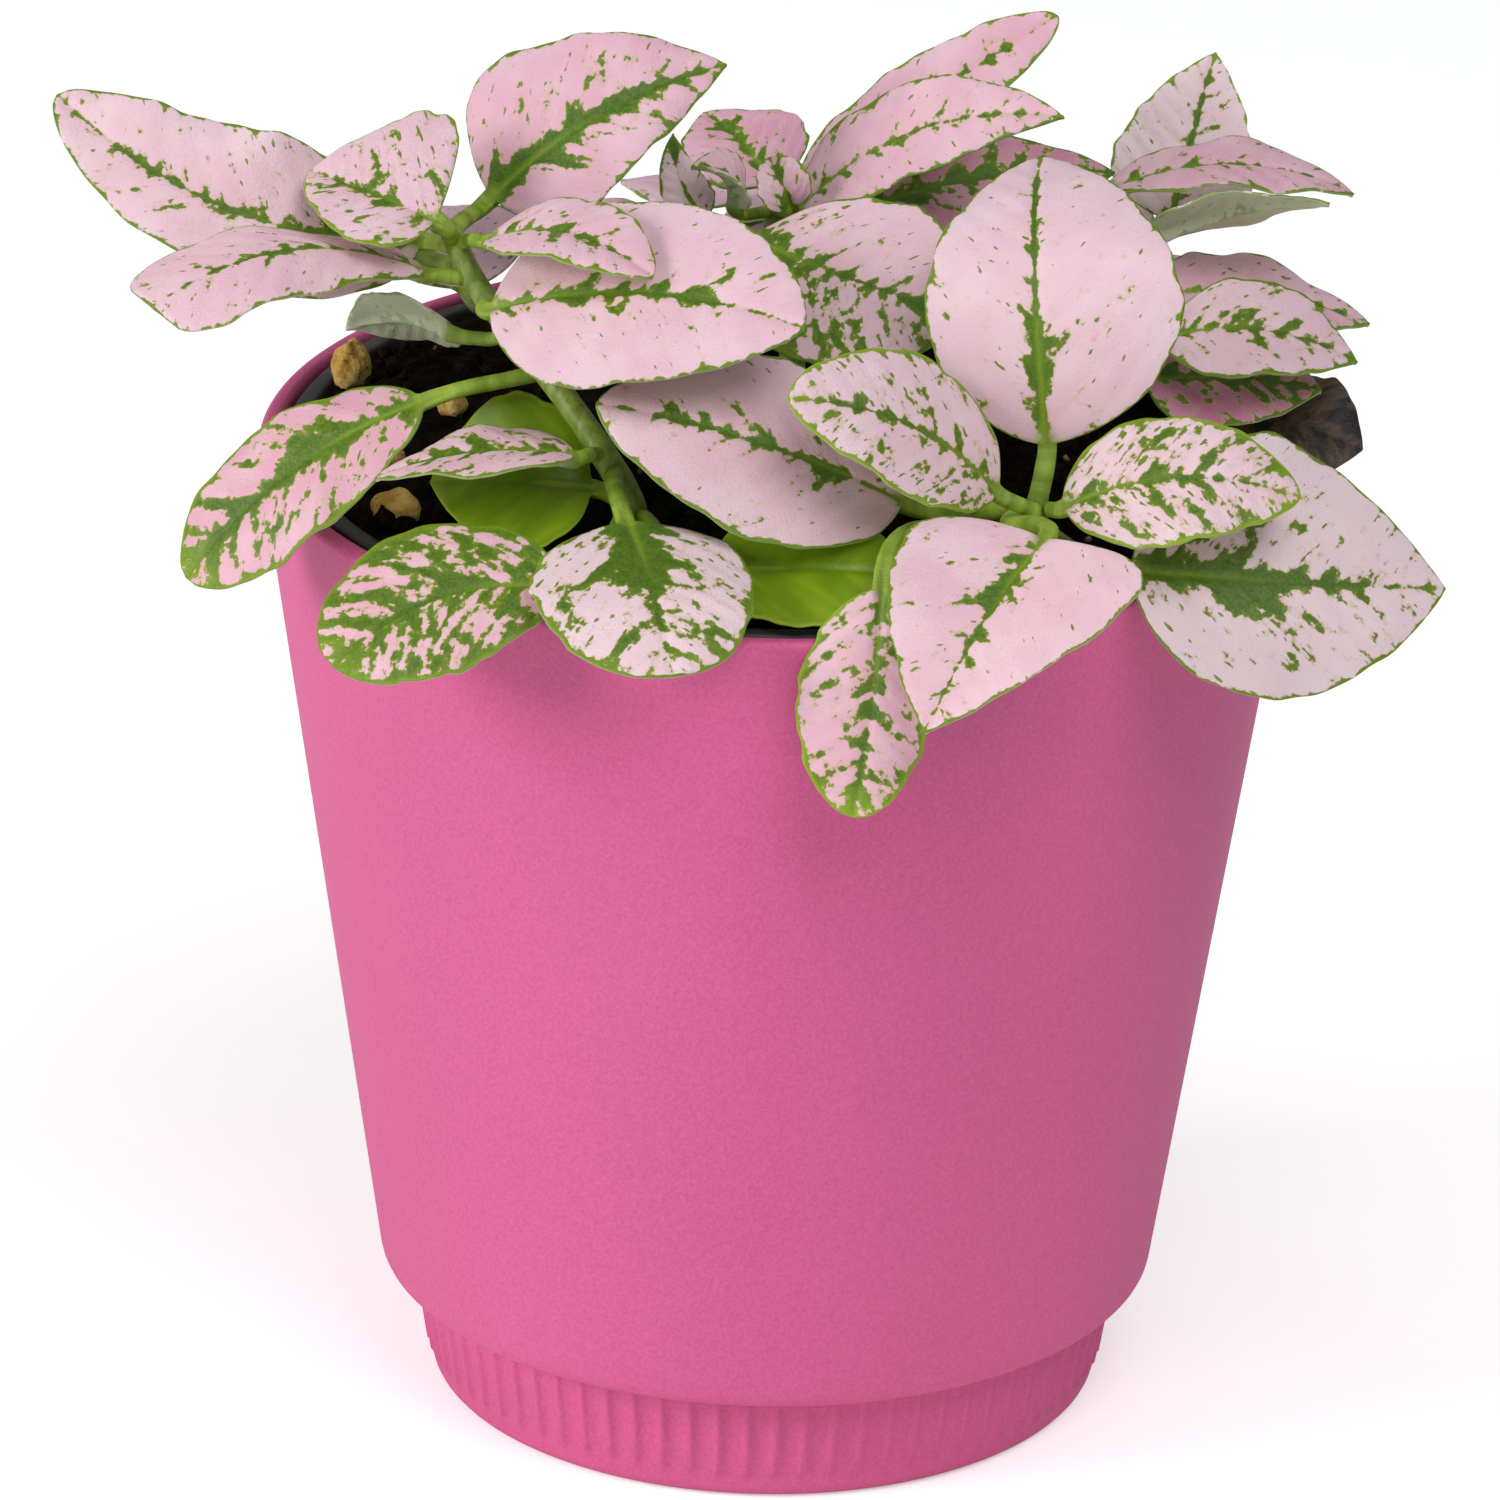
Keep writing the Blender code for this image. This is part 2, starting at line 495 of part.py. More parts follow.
def leaf_solid(name, leaf, group, surface):
    """One leaf with its stalk: a closed loft through unlike cuts, split alike on both faces."""
    rings = leaf_rings(leaf)
    count = len(rings[0])
    work = bmesh.new()
    rows = [[work.verts.new([float(c) * MM for c in p]) for p in ring] for ring in rings]
    for here, there in zip(rows[:-1], rows[1:]):
        for k in range(count):
            a, b = here[k], here[(k + 1) % count]
            d, c = there[k], there[(k + 1) % count]
            pair = [(a, b, c), (a, c, d)] if k < count // 2 else [(a, b, d), (b, c, d)]
            for corners in pair:
                work.faces.new(corners)
    for ring in (rows[0], rows[-1]):
        for k in range(count // 2 - 1):
            a, b, c, d = ring[k], ring[k + 1], ring[count - 2 - k], ring[count - 1 - k]
            work.faces.new((a, b, c))
            work.faces.new((a, c, d))
    return add_bmesh(name, work, group, surface, smooth=True)


def build():
    """Make every part."""
    for item in list(bpy.data.objects):
        bpy.data.objects.remove(item, do_unlink=True)
    parts = collection("potted_polka_dot_plant")
    cutters = collection("cutters")
    pink = material("pink pot", (0.60, 0.12, 0.31), 0.45)
    grey = material("dark liner", (0.06, 0.06, 0.055), 0.6)
    peat = material("peat", (0.02, 0.013, 0.009), 0.95)
    grit = material("tan grit", (0.55, 0.40, 0.16), 0.9)
    green = material("green stem", (0.20, 0.33, 0.08), 0.6)
    spotted = material("pink leaf", (0.82, 0.55, 0.62), 0.55)
    seedling = material("green seed leaf", (0.12, 0.28, 0.03), 0.5)
    cover_pot(parts, cutters, pink)
    nursery_pot(parts, grey)
    soil(parts, cutters, peat)
    for name, (middle, halves, turn) in GRAINS.items():
        lump(name, middle, halves, turn, 2, parts, grit)
    for name in STEMS:
        stem(name, parts, green)
    for name, row in LEAVES.items():
        leaf_solid("leaf_" + name, Leaf(*row), parts, spotted)
    for name, row in SEED_LEAVES.items():
        leaf_solid(name, Leaf(*row), parts, seedling)


build()
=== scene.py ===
# %% [markdown]
# # A potted polka dot plant
# The real object is a young houseplant: a few leafy shoots in peat, in a thin dark liner,
# dropped into a tapered pink cover pot. A packed CAD model already holds every piece at its
# real place. This lesson dresses that model: each piece gets a fine surface and a finish
# made of shader nodes. Lengths are written in millimetres, because that is how a pot and a
# leaf are measured, and they are turned into metres when a mesh is made.

# %% Load the model that everything is fitted to
import math
from collections import namedtuple

import bmesh
import bpy
import numpy as np
from mathutils import Matrix, Vector, noise


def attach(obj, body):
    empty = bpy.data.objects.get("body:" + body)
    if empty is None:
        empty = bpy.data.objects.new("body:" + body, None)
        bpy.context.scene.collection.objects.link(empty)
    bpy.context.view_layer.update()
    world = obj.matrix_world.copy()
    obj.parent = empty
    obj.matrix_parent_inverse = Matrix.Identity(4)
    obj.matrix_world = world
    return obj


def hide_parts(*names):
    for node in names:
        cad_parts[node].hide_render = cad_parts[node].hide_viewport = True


MM = 0.001
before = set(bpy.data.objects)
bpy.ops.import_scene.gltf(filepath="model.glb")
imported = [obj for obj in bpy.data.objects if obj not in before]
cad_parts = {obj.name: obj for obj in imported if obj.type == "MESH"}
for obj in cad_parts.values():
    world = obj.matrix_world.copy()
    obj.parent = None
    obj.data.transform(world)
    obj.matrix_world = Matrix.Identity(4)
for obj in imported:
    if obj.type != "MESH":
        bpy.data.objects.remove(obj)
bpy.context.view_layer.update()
print("nodes:", len(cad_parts))

# %% [markdown]
# ## The camera
# The photograph was taken from about a metre and a half away with a long lens, looking down
# by about 23 degrees. A long lens keeps the pot's sides nearly straight, so the camera
# stands far off and its lens is long, instead of near with a wide one. The small roll turns
# the picture as a camera held by hand does.

# %% Camera
CAMERA_PLACE = Vector((0.0, -1371.8, 656.75)) * MM
CAMERA_AIM = Vector((-2.67, 0.0, 70.8)) * MM
CAMERA_LENS = 338.2
CAMERA_ROLL = math.radians(1.14)

camera = bpy.data.objects.new("camera", bpy.data.cameras.new("camera"))
bpy.context.scene.collection.objects.link(camera)
camera.data.lens = CAMERA_LENS
camera.data.sensor_width = 36.0
camera.data.clip_start, camera.data.clip_end = 0.05, 20.0
view_line = CAMERA_AIM - CAMERA_PLACE
camera.matrix_world = (Matrix.Translation(CAMERA_PLACE)
                       @ view_line.to_track_quat("-Z", "Y").to_matrix().to_4x4()
                       @ Matrix.Rotation(CAMERA_ROLL, 4, "Z"))
bpy.context.scene.camera = camera
print("camera is", round(view_line.length, 2), "m from the pot's middle")

# %% [markdown]
# ## Shader maths in Python
# A finish is a tree of nodes, and a long sum of Math nodes is hard to read. The class below
# wraps one socket, so that `1 - mask` or `height * 0.3` adds the Math node for it. Every
# other kind of node comes from its one method `node`, which sets the node's options first
# and then the values or links of its sockets.

# %% Wire: a socket that Python's signs work on
def signs(operation):
    """Two methods for one sign: with the Wire before it, and with the Wire after it."""
    return (lambda wire, other: wire.maths(operation, wire, other),
            lambda wire, other: wire.maths(operation, other, wire))


class Wire:
    """One output socket of a node tree."""

    def __init__(self, tree, port=None):
        self.tree, self.port = tree, port

    def fill(self, port, value):
        """Link a socket to a Wire, or give it a plain value."""
        if isinstance(value, Wire):
            self.tree.links.new(value.port, port)
        elif port.type == "RGBA":
            port.default_value = (*value, 1.0)
        else:
            port.default_value = value

    def node(self, kind, options=None, sockets=None, out=None):
        """Add a node, set its options, fill its sockets, and return the output named."""
        made = self.tree.nodes.new("ShaderNode" + kind)
        for name, value in (options or {}).items():
            setattr(made, name, value)
        for name, value in (sockets or {}).items():
            self.fill(next(p for p in made.inputs if p.enabled and p.name == name), value)
        if out is None:
            return None
        return Wire(self.tree, next(p for p in made.outputs if p.enabled and p.name == out))

    def maths(self, operation, a, b):
        """Add a Math node on two values."""
        made = self.tree.nodes.new("ShaderNodeMath")
        made.operation = operation
        self.fill(made.inputs[0], a)
        self.fill(made.inputs[1], b)
        return Wire(self.tree, made.outputs[0])

    __add__, __radd__ = signs("ADD")
    __sub__, __rsub__ = signs("SUBTRACT")
    __mul__, __rmul__ = signs("MULTIPLY")
    __or__, __ror__ = signs("MAXIMUM")

    def place(self):
        """Where the point lies on its object, in metres."""
        return self.node("TexCoord", out="Object")

    def stored(self, name, out="Vector"):
        """What the mesh stores for each point under a name."""
        return self.node("Attribute", {"attribute_name": name}, out=out)

    def part(self, axis):
        """One number of this vector."""
        return self.node("SeparateXYZ", None, {"Vector": self}, axis)

    def slope(self, low, high):
        """0 up to low, 1 from high, and a soft slope between them."""
        return self.node("MapRange", {"interpolation_type": "SMOOTHSTEP"},
                         {"Value": self, "From Min": low, "From Max": high}, "Result")

    def tint(self, first, second):
        """The first colour where this mask is 0 and the second where it is 1."""
        return self.node("Mix", {"data_type": "RGBA"},
                         {"Factor": self, "A": first, "B": second}, "Result")

    def grain(self, scale, detail=2.0, roughness=0.5):
        """Noise laid over this vector, from 0 to 1 with its middle at 0.5."""
        return self.node("TexNoise", None, {"Vector": self, "Scale": scale, "Detail": detail,
                                            "Roughness": roughness}, "Fac")

    def bump(self, strength, depth):
        """The normal of a surface with this relief, whose depth is in metres."""
        return self.node("Bump", None, {"Height": self, "Strength": strength,
                                        "Distance": depth}, "Normal")


print("a Wire's methods:", ", ".join(n for n in vars(Wire) if not n.startswith("_")))

# %% [markdown]
# Colours are easiest to pick as they look on a screen, from 0 to 255, but shaders work with
# light, which isn't spread the same way. `screen` turns the one into the other. A finish is
# started by `new_finish`, which gives an empty tree to build in.

# %% Helpers for finishes
def screen(red, green, blue):
    """A colour as it looks on a screen, as amounts of light."""
    return tuple(c / 255 / 12.92 if c <= 10 else ((c / 255 + 0.055) / 1.055) ** 2.4
                 for c in (red, green, blue))


def shades(mask, low, high, first, second):
    """One screen colour where a mask is up to low, another where it is from high."""
    return mask.slope(low, high).tint(screen(*first), screen(*second))


def new_finish(name):
    """A new material, and a Wire to build its tree with."""
    made = bpy.data.materials.new(name)
    made.use_nodes = True
    made.node_tree.nodes.clear()
    return made, Wire(made.node_tree)


def surface(start, **sockets):
    """Close a tree with a Principled shader; underlines in names stand for spaces."""
    filled = {name.replace("_", " "): value for name, value in sockets.items()}
    shader = start.node("BsdfPrincipled", None, filled, "BSDF")
    start.node("OutputMaterial", None, {"Surface": shader})


print("the pot's pink is", [round(c, 3) for c in screen(224, 100, 158)])

# %% [markdown]
# ## Meshes in code
# The real pot, liner and soil are all round, so a profile is swept round the upright axis.
# Blender's Screw modifier does that too, but here each point may also be pushed out or up
# on its way round, which makes ribs and crumbs. Corners of a profile are first rounded,
# because no moulded edge is perfectly sharp.

# %% Rounded profiles
def unit(v):
    """The direction of a vector, or of each row of an array."""
    v = np.asarray(v, float)
    return v / np.linalg.norm(v, axis=-1, keepdims=True)


def rounded(corners, steps=6):
    """A profile from (radius, height, rounding) corners, with an arc at each rounded one."""
    points = np.array([c[:2] for c in corners], float)
    made = []
    for k, (r, z, rounding) in enumerate(corners):
        if rounding == 0 or k in (0, len(corners) - 1):
            made.append((r, z))
            continue
        here = points[k]
        back, ahead = unit(points[k - 1] - here), unit(points[k + 1] - here)
        half = math.acos(np.clip(back @ ahead, -1, 1)) / 2
        first, last = (here + way * rounding / math.tan(half) for way in (back, ahead))
        middle = here + unit(back + ahead) * rounding / math.sin(half)
        for t in np.linspace(0, 1, steps + 1):
            spoke = unit((first - middle) * (1 - t) + (last - middle) * t)
            made.append(tuple(middle + spoke * rounding))
    return made


def filled_in(profile, longest):
    """The same profile with extra points, so that no stretch is longer than asked."""
    made = [profile[0]]
    for a, b in zip(profile[:-1], profile[1:]):
        pieces = max(1, math.ceil(math.dist(a, b) / longest))
        made += [tuple(np.array(a) + (np.array(b) - a) * (k + 1) / pieces)
                 for k in range(pieces)]
    return made


print("a rounded corner gets", len(rounded([(0, 0, 0), (9, 0, 2), (9, 9, 0)])) - 2, "points")

# %% [markdown]
# Every piece ends as a smooth mesh that rides on the packed body. A swept one has rings of
# points, joined by four-sided faces, and a fan of triangles wherever it meets the axis.

# %% Swept bodies
def mesh_object(name, points, faces, finish):
    """A smooth mesh from points in mm, riding on the packed body."""
    mesh = bpy.data.meshes.new(name)
    mesh.from_pydata((np.asarray(points, float) * MM).tolist(), [], faces)
    mesh.polygons.foreach_set("use_smooth", [True] * len(mesh.polygons))
    mesh.update()
    made = bpy.data.objects.new(name, mesh)
    bpy.context.scene.collection.objects.link(made)
    mesh.materials.append(finish)
    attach(made, "root")
    return made


def even_turn(steps):
    """Angles that are spread evenly round the axis."""
    return np.arange(steps) * 2 * math.pi / steps


def bands(rows, count):
    """Four-sided faces that join closed rings of points, each ring to the next."""
    return [(a + count, b + count, b, a) for row in range(0, (rows - 1) * count, count)
            for a, b in ((row + k, row + (k + 1) % count) for k in range(count))]


def swept(name, profile, angles, finish, push=None):
    """A body of revolution. Its profile starts on the axis inside and ends there below."""
    steps = len(angles)
    r, z = (np.array(c, float)[:, None] * np.ones(steps) for c in zip(*profile[1:-1]))
    turn = np.ones(len(r))[:, None] * angles
    if push:
        r, z = push(r, z, turn)
    points = np.stack([r * np.cos(turn), r * np.sin(turn), z], -1).reshape(-1, 3)
    points = np.vstack([points, [[0, 0, profile[0][1]], [0, 0, profile[-1][1]]]])
    rows, first, last = len(r), len(points) - 2, len(points) - 1
    faces = bands(rows, steps)
    for k in range(steps):
        beside = (k + 1) % steps
        faces.append((k, beside, first))
        faces.append(((rows - 1) * steps + beside, (rows - 1) * steps + k, last))
    return mesh_object(name, points, faces, finish)


print("even_turn(8) steps by", round(math.degrees(even_turn(8)[1])), "degrees")

# %% [markdown]
# ## The cover pot's finish
# The pot is coloured plastic with a dull, very finely grained skin. The grain is far too
# small to model, so it is bump made from noise, and it also flickers in the colour, as light
# and shade do in a real grain. A second, wider noise lets the gloss wander a little.

# %% Pink pot finish
pot_finish, start = new_finish("pink grained plastic")
place = start.place()
skin, cloud = place.grain(2400, 2.5, 0.65), place.grain(30)
lighter = skin * 2.0 + cloud * 0.4 - 0.7
surface(start, Base_Color=lighter.tint(screen(214, 84, 142), screen(232, 104, 160)),
        Roughness=0.44 + skin * 0.12 + cloud * 0.06, Normal=skin.bump(0.5, 0.0002))
print("nodes in the pot's finish:", len(pot_finish.node_tree.nodes))

# %% [markdown]
# ## The cover pot
# The real pot is a thin cone with a soft rim. Low down the wall turns in over a rounded
# shoulder to a narrower foot, which carries fine upright ribs over a smooth band. The ribs
# are relief on the real pot and in the CAD model, so here too the foot's points are pushed
# out along each rib. The mesh's columns stand closer together there than between them.

# %% Cover pot
RIM_RADIUS, POT_HEIGHT, POT_WALL, POT_FLOOR = 55.0, 106.0, 2.1, 3.0
SHOULDER_RADIUS, SHOULDER_HEIGHT, SHOULDER_TURN_IN = 41.4, 15.2, 0.33
STEP_HEIGHT, FOOT_TOP_RADIUS, FOOT_BASE_RADIUS, FOOT_FILLET = 13.0, 37.5, 35.4, 2.0
RIB_COUNT, RIB_PROUD, RIB_LOW, RIB_END = 76, 0.4, 3.1, 0.4
# half a rib's width at its foot, and the width of its flank, as parts of the way from rib
# to rib; then the places of the mesh's columns along that way
RIB_HALF, RIB_FLANK = 0.2, 0.1
RIB_SPAN = np.array([0.0, 0.26, 0.36, 0.43, 0.5, 0.57, 0.64, 0.74])
SKIN_NEAR = 0.8  # how near the foot's plain skin a point lies that may be pushed out


def foot_radius(z):
    """The radius of the foot's plain skin at a height."""
    return FOOT_BASE_RADIUS + (FOOT_TOP_RADIUS - FOOT_BASE_RADIUS) * z / STEP_HEIGHT


def ribs(r, z, turn):
    """Push the foot's outer skin out along each rib."""
    outer = (np.abs(r - foot_radius(z)) < SKIN_NEAR) & (z < STEP_HEIGHT - 0.01)
    from_middle = np.abs(turn * RIB_COUNT / (2 * math.pi) % 1.0 - 0.5)
    ridge = np.clip((RIB_HALF - from_middle) / RIB_FLANK, 0, 1)
    fade = np.clip((z - RIB_LOW) / RIB_END, 0, 1)
    return r + np.where(outer, RIB_PROUD * ridge * fade, 0.0), z


rib_top = RIB_LOW + RIB_END
pot_profile = filled_in(rounded([
    (0.0, POT_FLOOR, 0), (FOOT_BASE_RADIUS - 1.0, POT_FLOOR, 1.0),
    (FOOT_TOP_RADIUS - POT_WALL, STEP_HEIGHT - 0.5, 1.0),
    (SHOULDER_RADIUS - POT_WALL, SHOULDER_HEIGHT, 1.5),
    (RIM_RADIUS - POT_WALL, POT_HEIGHT, 0.8), (RIM_RADIUS, POT_HEIGHT, 0.9),
    (SHOULDER_RADIUS - SHOULDER_TURN_IN, STEP_HEIGHT, 2.0),
    (FOOT_TOP_RADIUS, STEP_HEIGHT, 0.3),
    (foot_radius(rib_top), rib_top, 0), (foot_radius(RIB_LOW), RIB_LOW, 0),
    (FOOT_BASE_RADIUS, 0.0, FOOT_FILLET), (0.0, 0.0, 0),
]), 3.5)
rib_turns = (np.arange(RIB_COUNT)[:, None] + RIB_SPAN).ravel() * 2 * math.pi / RIB_COUNT
pot = swept("pot_skin", pot_profile, rib_turns, pot_finish, ribs)
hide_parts("cover_pot")
print("pot faces:", len(pot.data.polygons))

# %% [markdown]
# ## The liner
# Just inside the pink rim stands the lip of the thin dark pot that the plant was grown in.
# It is a swept body again. Its soft black-grey plastic is dusty in places, so a noise drives
# its colour and its roughness together.

# %% Liner
liner_finish, start = new_finish("dark liner plastic")
dust = start.place().grain(260, 4.0, 0.6).slope(0.45, 0.75)
surface(start, Base_Color=dust.tint(screen(52, 50, 48), screen(96, 88, 80)),
        Roughness=0.5 + dust * 0.3)

LINER_RIM_RADIUS, LINER_LIP, LINER_WALL, LINER_LIP_DEPTH = 52.2, 2.0, 1.0, 3.0
LINER_BASE_RADIUS, LINER_BASE, LINER_FLOOR = 32.5, 3.3, 1.2
lip_top = POT_HEIGHT - 0.2
lip_under = lip_top - LINER_LIP_DEPTH
wall_top = LINER_RIM_RADIUS - 0.6
liner = swept("liner_skin", filled_in(rounded([
    (0.0, LINER_BASE + LINER_FLOOR, 0),
    (LINER_BASE_RADIUS - LINER_WALL, LINER_BASE + LINER_FLOOR, 0.6),
    (wall_top - LINER_WALL - 1.0, lip_under, 0.4),
    (LINER_RIM_RADIUS - LINER_LIP, lip_top, 0.5), (LINER_RIM_RADIUS, lip_top, 0.5),
    (LINER_RIM_RADIUS, lip_under, 0.3), (wall_top, lip_under, 0.0),
    (LINER_BASE_RADIUS, LINER_BASE, 0.6), (0.0, LINER_BASE, 0),
], 3), 12.0), even_turn(192), liner_finish)
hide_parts("nursery_pot")
print("liner faces:", len(liner.data.polygons))

# %% [markdown]
# ## The soil
# Peat is made of dark crumbs and fibres of every size, dark brown on top; the same two noises
# drive both the colour and the bump, and painted shade makes it nearly black in the hollows.

# %% Peat finish
peat_finish, start = new_finish("moist peat")
place = start.place()
clod, fibre = place.grain(420, 5.0, 0.65), place.grain(1600, 2.0, 0.6)
# the peat's own dark brown, with painted shade that darkens it where the bump is low
brown_and_shade = shades(clod * 0.7 + fibre * 0.3, 0.42, 0.72, (5, 3, 2), (34, 22, 15))
surface(start, Base_Color=brown_and_shade,
        Roughness=0.82 + fibre * 0.15, Specular_IOR_Level=0.05,
        Normal=(clod + fibre * 0.4).bump(0.8, 0.0006))
print("nodes in the peat's finish:", len(peat_finish.node_tree.nodes))

# %% [markdown]
# The heap itself is a swept body whose top is pushed up and down by noise of four sizes,
# from clods to crumbs. It is highest near the middle and falls toward the liner.

# %% Heap of peat
HEAP_RADII = [0, 14, 27, 37, 44, 49.8]
HEAP_HEIGHTS = [110.4, 110.2, 109.4, 108.6, 107.4, 104.9]
RELIEF = ((9.0, 0.5), (3.6, 0.55), (1.5, 0.4), (0.8, 0.2))  # width and height in mm
RELIEF_SINK, RING_STEP = 0.25, 0.55
SOIL_RADIUS = LINER_RIM_RADIUS - LINER_LIP - 0.4
SOIL_NECK_RADIUS = 48.6  # just below the liner's lip
SOIL_BASE_RADIUS, SOIL_BASE = LINER_BASE_RADIUS - 1.5, LINER_BASE + 1.5


def soil_height(r):
    """How high the smooth heap stands at a distance from the axis."""
    return np.interp(r, HEAP_RADII, HEAP_HEIGHTS)


def peat_top(r, x, y):
    """How high the rough heap stands at a place."""
    total = 0.0
    for size, height in RELIEF:
        total += height * noise.noise(Vector((x / size, y / size, size)))
    return soil_height(r) + total - RELIEF_SINK


def crumble(r, z, turn):
    """Give the top of the heap its relief."""
    x, y = r * np.cos(turn), r * np.sin(turn)
    for spot in zip(*np.nonzero(z > HEAP_HEIGHTS[-1] - 0.4)):
        z[spot] = peat_top(r[spot], x[spot], y[spot])
    return r, z


top_line = [(r, float(soil_height(r))) for r in np.arange(0.0, SOIL_RADIUS, RING_STEP)]
side_line = [(SOIL_RADIUS, HEAP_HEIGHTS[-1]), (SOIL_RADIUS, lip_under + 1.0),
             (SOIL_NECK_RADIUS, lip_under - 0.4), (SOIL_BASE_RADIUS, SOIL_BASE),
             (0.0, SOIL_BASE)]
soil = swept("peat_heap", top_line + side_line, even_turn(240), peat_finish, crumble)
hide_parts("soil")
print("heap faces:", len(soil.data.polygons))

# %% [markdown]
# On the real heap lie loose crumbs, nearly all of them dark, with a few tan bits of bark and
# grit. One finish does for both: the mesh stores a tone for each crumb, and only the few
# with the highest tones turn tan.

# %% Crumb finish
crumb_finish, start = new_finish("peat crumbs and bark")
pits = start.place().grain(1500, 4.0, 0.65)
bark = start.stored("crumb_tone", "Fac")
# both crumb colours are darker where the pit noise is low, in the dents it makes: painted
# shade
dark_crumb = shades(pits, 0.35, 0.7, (6, 4, 3), (40, 27, 19))
tan_crumb = shades(pits, 0.3, 0.7, (116, 84, 50), (186, 150, 98))
surface(start, Base_Color=bark.slope(0.90, 0.95).tint(dark_crumb, tan_crumb), Roughness=0.9,
        Specular_IOR_Level=0.05, Normal=pits.bump(0.6, 0.0004))
print("nodes in the crumbs' finish:", len(crumb_finish.node_tree.nodes))

# %% [markdown]
# Noise alone would make the peat look painted from the side, so the crumbs are real lumps,
# and some are long and thin like fibres. Each is a small sphere that is squashed, turned and
# dented by noise. Copies of one object could be strewn too, but the model that is handed
# over keeps no such copies, so all lumps are gathered into one mesh.

# %% Loose crumbs on the peat
CRUMBS, FIBRES, SCATTER_RADIUS = 1000, 120, 49.2
# the least half size in mm, and how much more it can be
CRUMB_HALF, CRUMB_MORE = 0.35, 1.25
FIBRE_HALF, FIBRE_MORE, FIBRE_WIDE, FIBRE_THICK = 0.8, 2.2, 0.16, 0.14
CRUMB_TILT, CRUMB_DENTS, CRUMB_RISE = 0.8, 0.35, 0.35


def pebble(subdivisions):
    """Corners and triangles of a round lump of radius 1."""
    work = bmesh.new()
    bmesh.ops.create_icosphere(work, subdivisions=subdivisions, radius=1.0)
    corners = np.array([v.co[:] for v in work.verts])
    triangles = [[v.index for v in f.verts] for f in work.faces]
    work.free()
    return corners, triangles


def paint(mesh, name, kind, values):
    """Store a value, or three, for every point of a mesh."""
    layer = mesh.attributes.new(name, kind, "POINT")
    field = "value" if kind == "FLOAT" else "vector"
    layer.data.foreach_set(field, np.asarray(values, float).ravel())


dice = np.random.default_rng(11)
ball, triangles = pebble(2)
points, faces, tones = [], [], []
for k in range(CRUMBS + FIBRES):
    r, turn = SCATTER_RADIUS * math.sqrt(dice.random()), dice.random() * 2 * math.pi
    size = CRUMB_HALF + CRUMB_MORE * dice.random() ** 2.5
    halves = size * (0.7 + 0.5 * dice.random(3))
    if k >= CRUMBS:
        halves = np.array([FIBRE_MORE * dice.random() + FIBRE_HALF, FIBRE_WIDE, FIBRE_THICK])
    x, y = r * math.cos(turn), r * math.sin(turn)
    spin = Matrix.Rotation(dice.random() * 6.28, 3, "Z") @ Matrix.Rotation(
        (dice.random() - 0.5) * CRUMB_TILT, 3, "Y")
    rough = np.array([0.85 + CRUMB_DENTS * noise.noise(Vector(c) * 1.3 + Vector((k, 0, 0)))
                      for c in ball])
    lump = (ball * rough[:, None] * halves) @ np.array(spin).T
    faces += [[i + len(points) * len(ball) for i in t] for t in triangles]
    points.append(lump + [x, y, peat_top(r, x, y) + CRUMB_RISE * halves[2]])
    tones += [dice.random()] * len(ball)
crumbs = mesh_object("peat_crumbs", np.vstack(points), faces, crumb_finish)
paint(crumbs.data, "crumb_tone", "FLOAT", tones)
print("crumb faces:", len(crumbs.data.polygons))

# %% [markdown]
# ## The tan grains
# Five coarse grains of a soft, pitted mineral lie half sunk in the peat. They take the
# shape that the CAD model gives them, with finer dents. The colour runs from straw to
# ochre, and it is darker in spots where the finer noise of the dents is high.

# %% Grains
# middle, half sizes and turn in degrees of each grain
GRAINS = {
    "grain_1": ((-45.6, 13.0, 108.4), (2.3, 2.0, 3.2), 10),
    "grain_2": ((-34.5, -0.5, 109.6), (1.8, 1.6, 1.5), 40),
    "grain_3": ((-39.6, -24.0, 107.3), (3.0, 2.2, 2.3), -15),
    "grain_4": ((-26.0, 12.0, 110.0), (1.6, 2.1, 1.4), 25),
    "grain_5": ((12.0, -14.0, 110.6), (1.7, 1.4, 1.2), 60),
}

grit_finish, start = new_finish("tan grit")
place = start.place()
patch, pit = place.grain(380, 3.0, 0.6), place.grain(1700, 3.0, 0.6)
straw = shades(patch, 0.35, 0.65, (186, 136, 40), (222, 190, 110))
surface(start, Base_Color=pit.slope(0.58, 0.7).tint(straw, screen(128, 92, 50)),
        Roughness=0.85, Normal=pit.bump(0.5, 0.0005))

ball, triangles = pebble(5)
for name, (middle, halves, turn) in GRAINS.items():
    wave = np.sin(5 * ball[:, 0] + turn) * np.cos(4 * ball[:, 1] + 2)
    dents = np.array([noise.fractal(Vector(c) * 2.2 + Vector((turn, 0, 0)), 0.8, 2.0, 4)
                      for c in ball])
    lump = ball * (0.90 + 0.08 * wave + 0.06 * dents)[:, None] * halves
    spin = np.array(Matrix.Rotation(math.radians(turn), 3, "Z"))
    grain = mesh_object(name + "_stone", lump @ spin.T + middle, triangles, grit_finish)
    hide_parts(name)
print("grains:", len(GRAINS))

# %% [markdown]
# ## The stems
# Each shoot is a soft green stem. It stands upright in the peat, and above it follows a
# smooth line through the points of the CAD model. Four shoots are seen from the front, and
# one more stands at the back.

